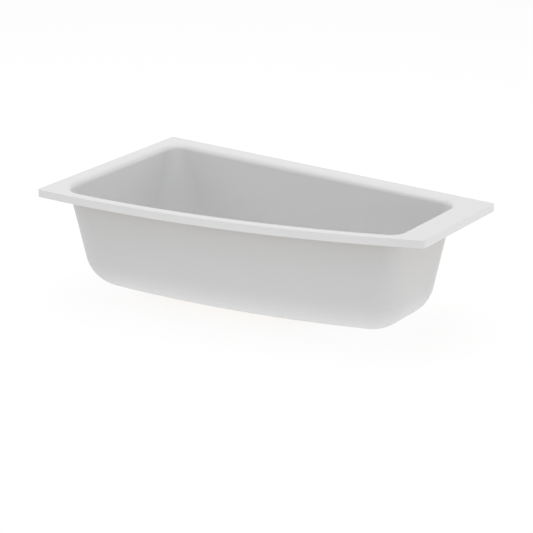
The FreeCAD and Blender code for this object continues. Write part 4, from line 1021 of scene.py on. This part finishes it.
def buildFeet():
    def padShape(radius, height, angle):
        # the cone dips between its ribs
        begin, width = feet["padCone"]
        share = np.clip((radius - begin) / width, 0.0, 1.0) * (height > feet["padBrim"])
        return radius, height - feet["padDip"] * (1 - ribs(angle, feet["padRibs"])) * np.sin(math.pi * share)

    weld, lock = [], []
    for spot, (x, y) in feet["spots"].items():
        label = "".join(word.capitalize() for word in spot.split("_"))
        low = (feet["studToe"] - tub["floorLevel"]) * math.hypot(1.0, tub["floorFall"]) + x * tub["floorFall"]
        seat, top = slope.at(x, y, 0.0), feet["studTop"]

        def thread(radius, height, angle):
            # radius falls from crest to root with height / pitch - angle / full turn, and the ends are
            # chamfered
            turns = height / feet["pitch"] - angle / (2 * math.pi)
            crest = np.clip(2.6 * np.abs(turns % 1.0 - 0.5) - 0.15, 0.0, 1.0)
            ends = feet["stud"] - 1.0 + np.minimum(height - low, top - height)
            return np.minimum(radius, np.minimum(feet["stud"] - feet["thread"] * (1 - crest), ends)), height

        height = rows(low, top, int((top - low) / feet["pitch"] * feet["turnSteps"]))
        line = np.column_stack([np.r_[0.0, np.full(len(height), feet["stud"]), 0.0], np.r_[low, height, top]])
        makePiece("footStud" + label, "foot_stud_" + spot, turned(seat, line, False, 24, thread))
        toe = seat.put(0.0, 0.0, low) * (1, 1, 0)
        pad = turned(Seat(toe, (0, 0, 1), (1, 0, 0)), softLine(feet["pad"], False), False, 96, padShape)
        makePiece("footPad" + label, "foot_pad_" + spot, pad)
        weld.append(hexNut(seat, *feet["weldNut"]))
        lock.append(hexNut(seat, *feet["lockNut"]))
    makePiece("footWeldNuts", "foot_weld_nuts", *weld)
    makePiece("footLockNuts", "foot_lock_nuts", *lock)


# screws of the rails and brackets: pan heads with a crossed recess, driven upwards
screws = {
    "shank": [(0.0, 12.0, 0.0), (2.0, 12.0, 0.6), (2.0, 0.0, 0.3), (4.0, 0.0, 0.3), (4.0, -1.1, 0.4),
              (3.6, -1.45, 0.0)],
    "head": 4.0, "dome": (3.5, -2.5, 1.3), "recess": (2.1, 0.55, 1.2), "recessEdge": (0.15, 0.25),
    "domeBelow": -1.2,
    "rail": [(x + side, y, -14.0) for side in (-22.0, 22.0)
             for x, y in ((-470.0, -33.0), (-470.0, 150.0), (150.0, 77.0), (150.0, 150.0))],
    "bracket": [(x + side, 429.0, 465.5) for x in (-450.0, 330.0) for side in (-10.0, 10.0)],
}


def buildScrews():
    # dome height = lowest + rise (r / R) squared; the recess lifts it near the two lines of a cross
    start, lowest, rise = screws["dome"]
    reach, half, deep = screws["recess"]
    radius = rows(start, 0.0, 20)
    dome = np.column_stack([radius, lowest + rise * (radius / screws["head"]) ** 2])
    line = np.concatenate([softLine(screws["shank"], False), dome])
    sideEdge, endEdge = screws["recessEdge"]

    def shape(radius, height, angle):
        near = radius * np.minimum(np.abs(np.sin(angle)), np.abs(np.cos(angle)))
        arms = np.clip((half - near) / sideEdge, 0.0, 1.0) * np.clip((reach - radius) / endEdge, 0.0, 1.0)
        return radius, height + deep * arms * (height < screws["domeBelow"])

    level = Seat((0.0, 0.0, 0.0), (0, 0, 1), (1, 0, 0))
    for kind, base in (("rail", slope), ("bracket", level)):
        driven = [turned(base.at(*spot), line, False, 64, shape) for spot in screws[kind]]
        makePiece(kind + "Screws", kind + "_screws", *driven)


buildWaste()
buildPlug()
buildOverflow()
buildTrap()
buildTimber()
buildRails()
buildFeet()
buildScrews()


# camera, as the photo was taken
shot = {"target": (-0.02204, 0.05, 0.18106), "azimuth": 34.9887, "elevation": 20.2546, "distance": 8.55099,
        "focal": 2102.565, "picture": 533.0}
turn, lift = math.radians(shot["azimuth"]), math.radians(shot["elevation"])
back = Vector((math.sin(turn) * math.cos(lift), -math.cos(turn) * math.cos(lift), math.sin(lift)))
lens = bpy.data.cameras.new("photoCamera")
lens.sensor_width = 36.0
lens.lens = shot["focal"] * lens.sensor_width / shot["picture"]
lens.clip_end = 100.0
camera = bpy.data.objects.new("photoCamera", lens)
camera.location = Vector(shot["target"]) + back * shot["distance"]
camera.rotation_mode = "QUATERNION"
camera.rotation_quaternion = (-back).to_track_quat("-Z", "Y")
bpy.context.scene.collection.objects.link(camera)
bpy.context.scene.camera = camera


# white ground that keeps a soft shadow, and plain studio light
studio = {
    "sky": 0.648, "ground": 1.31, "matt": 0.6, "groundSeen": 1.06, "mattSeen": 0.2,
    "groundColour": (0.9, 0.9, 0.9), "groundHalf": 40.0, "lampAim": (0.0, 0.0, 0.3),
    # painted light: a pool of extra glow on the ground round the bath
    "pool": 0.72, "paintedGlowMiddle": (0.2, -0.15, 0.0), "paintedGlowEdge": (0.7, 1.1),
    "lamps": {"topLamp": ((0.0, 0.0, 5.0), 5.0, 87.0), "rightLamp": ((4.6, 2.6, 0.9), 2.0, 31.0),
              "leftLamp": ((-4.5, -1.0, 3.0), 2.5, 20.0)},
}


def makeStage():
    # part glow and part matt, with a painted pool of extra glow round the bath that lights it from below: to
    # the camera and in reflections it is even and mostly glow, so that only a faint shadow is left
    constants = {"Base Color": studio["groundColour"], "Roughness": 0.9, "Specular IOR Level": 0.0}
    finish = Finish("paleGround", constants)
    seen = finish.seen()
    here = finish.node("TexCoord", {}, {}, "Object")
    # painted light: the ground glows brighter near the bath and fades out between the two edge distances
    far = finish.node("VectorMath", {"operation": "DISTANCE"}, {0: here, 1: studio["paintedGlowMiddle"]}, "Value")
    inner, outer = studio["paintedGlowEdge"]
    span = {"From Min": inner, "From Max": outer, "To Min": studio["pool"], "To Max": 0.0}
    pool = finish.node("MapRange", {"interpolation_type": "SMOOTHSTEP"}, {"Value": far, **span})
    level = studio["ground"] + pool
    shown = level + (studio["groundSeen"] - level) * seen
    glow = finish.node("Emission", {}, {"Color": shown, "Strength": 1.0})
    share = 1.0 - studio["matt"] + (studio["matt"] - studio["mattSeen"]) * seen
    mixed = finish.node("MixShader", {}, {0: share, 1: Value(finish, finish.shader.outputs[0]), 2: glow})
    finish.feed(finish.nodes["Material Output"].inputs["Surface"], mixed)
    square = np.array([[-1.0, -1.0, 0.0], [1.0, -1.0, 0.0], [1.0, 1.0, 0.0], [-1.0, 1.0, 0.0]])
    mesh = bpy.data.meshes.new("ground")
    mesh.from_pydata((studio["groundHalf"] * square).tolist(), [], [(0, 1, 2, 3)])
    floor = bpy.data.objects.new("ground", mesh)
    bpy.context.scene.collection.objects.link(floor)
    dress(floor, finish.material)


def makeLight():
    # even soft sky, which the camera and reflections see white
    world = bpy.data.worlds.new("studio")
    bpy.context.scene.world = world
    sky = Tree(world)
    level = studio["sky"] + (1.0 - studio["sky"]) * sky.seen()
    white = sky.node("Background", {}, {"Color": level, "Strength": 1.0})
    sky.feed(sky.nodes["World Output"].inputs["Surface"], white)
    for name, (place, size, power) in studio["lamps"].items():
        lamp = bpy.data.lights.new(name, "AREA")
        lamp.size = size
        lamp.energy = power
        holder = bpy.data.objects.new(name, lamp)
        holder.location = place
        holder.rotation_mode = "QUATERNION"
        way = Vector(studio["lampAim"]) - holder.location
        holder.rotation_quaternion = way.to_track_quat("-Z", "Y")
        bpy.context.scene.collection.objects.link(holder)


makeStage()
makeLight()
print("stage:", len(studio["lamps"]), "lamps")
bpy.context.scene.view_settings.view_transform = "Standard"
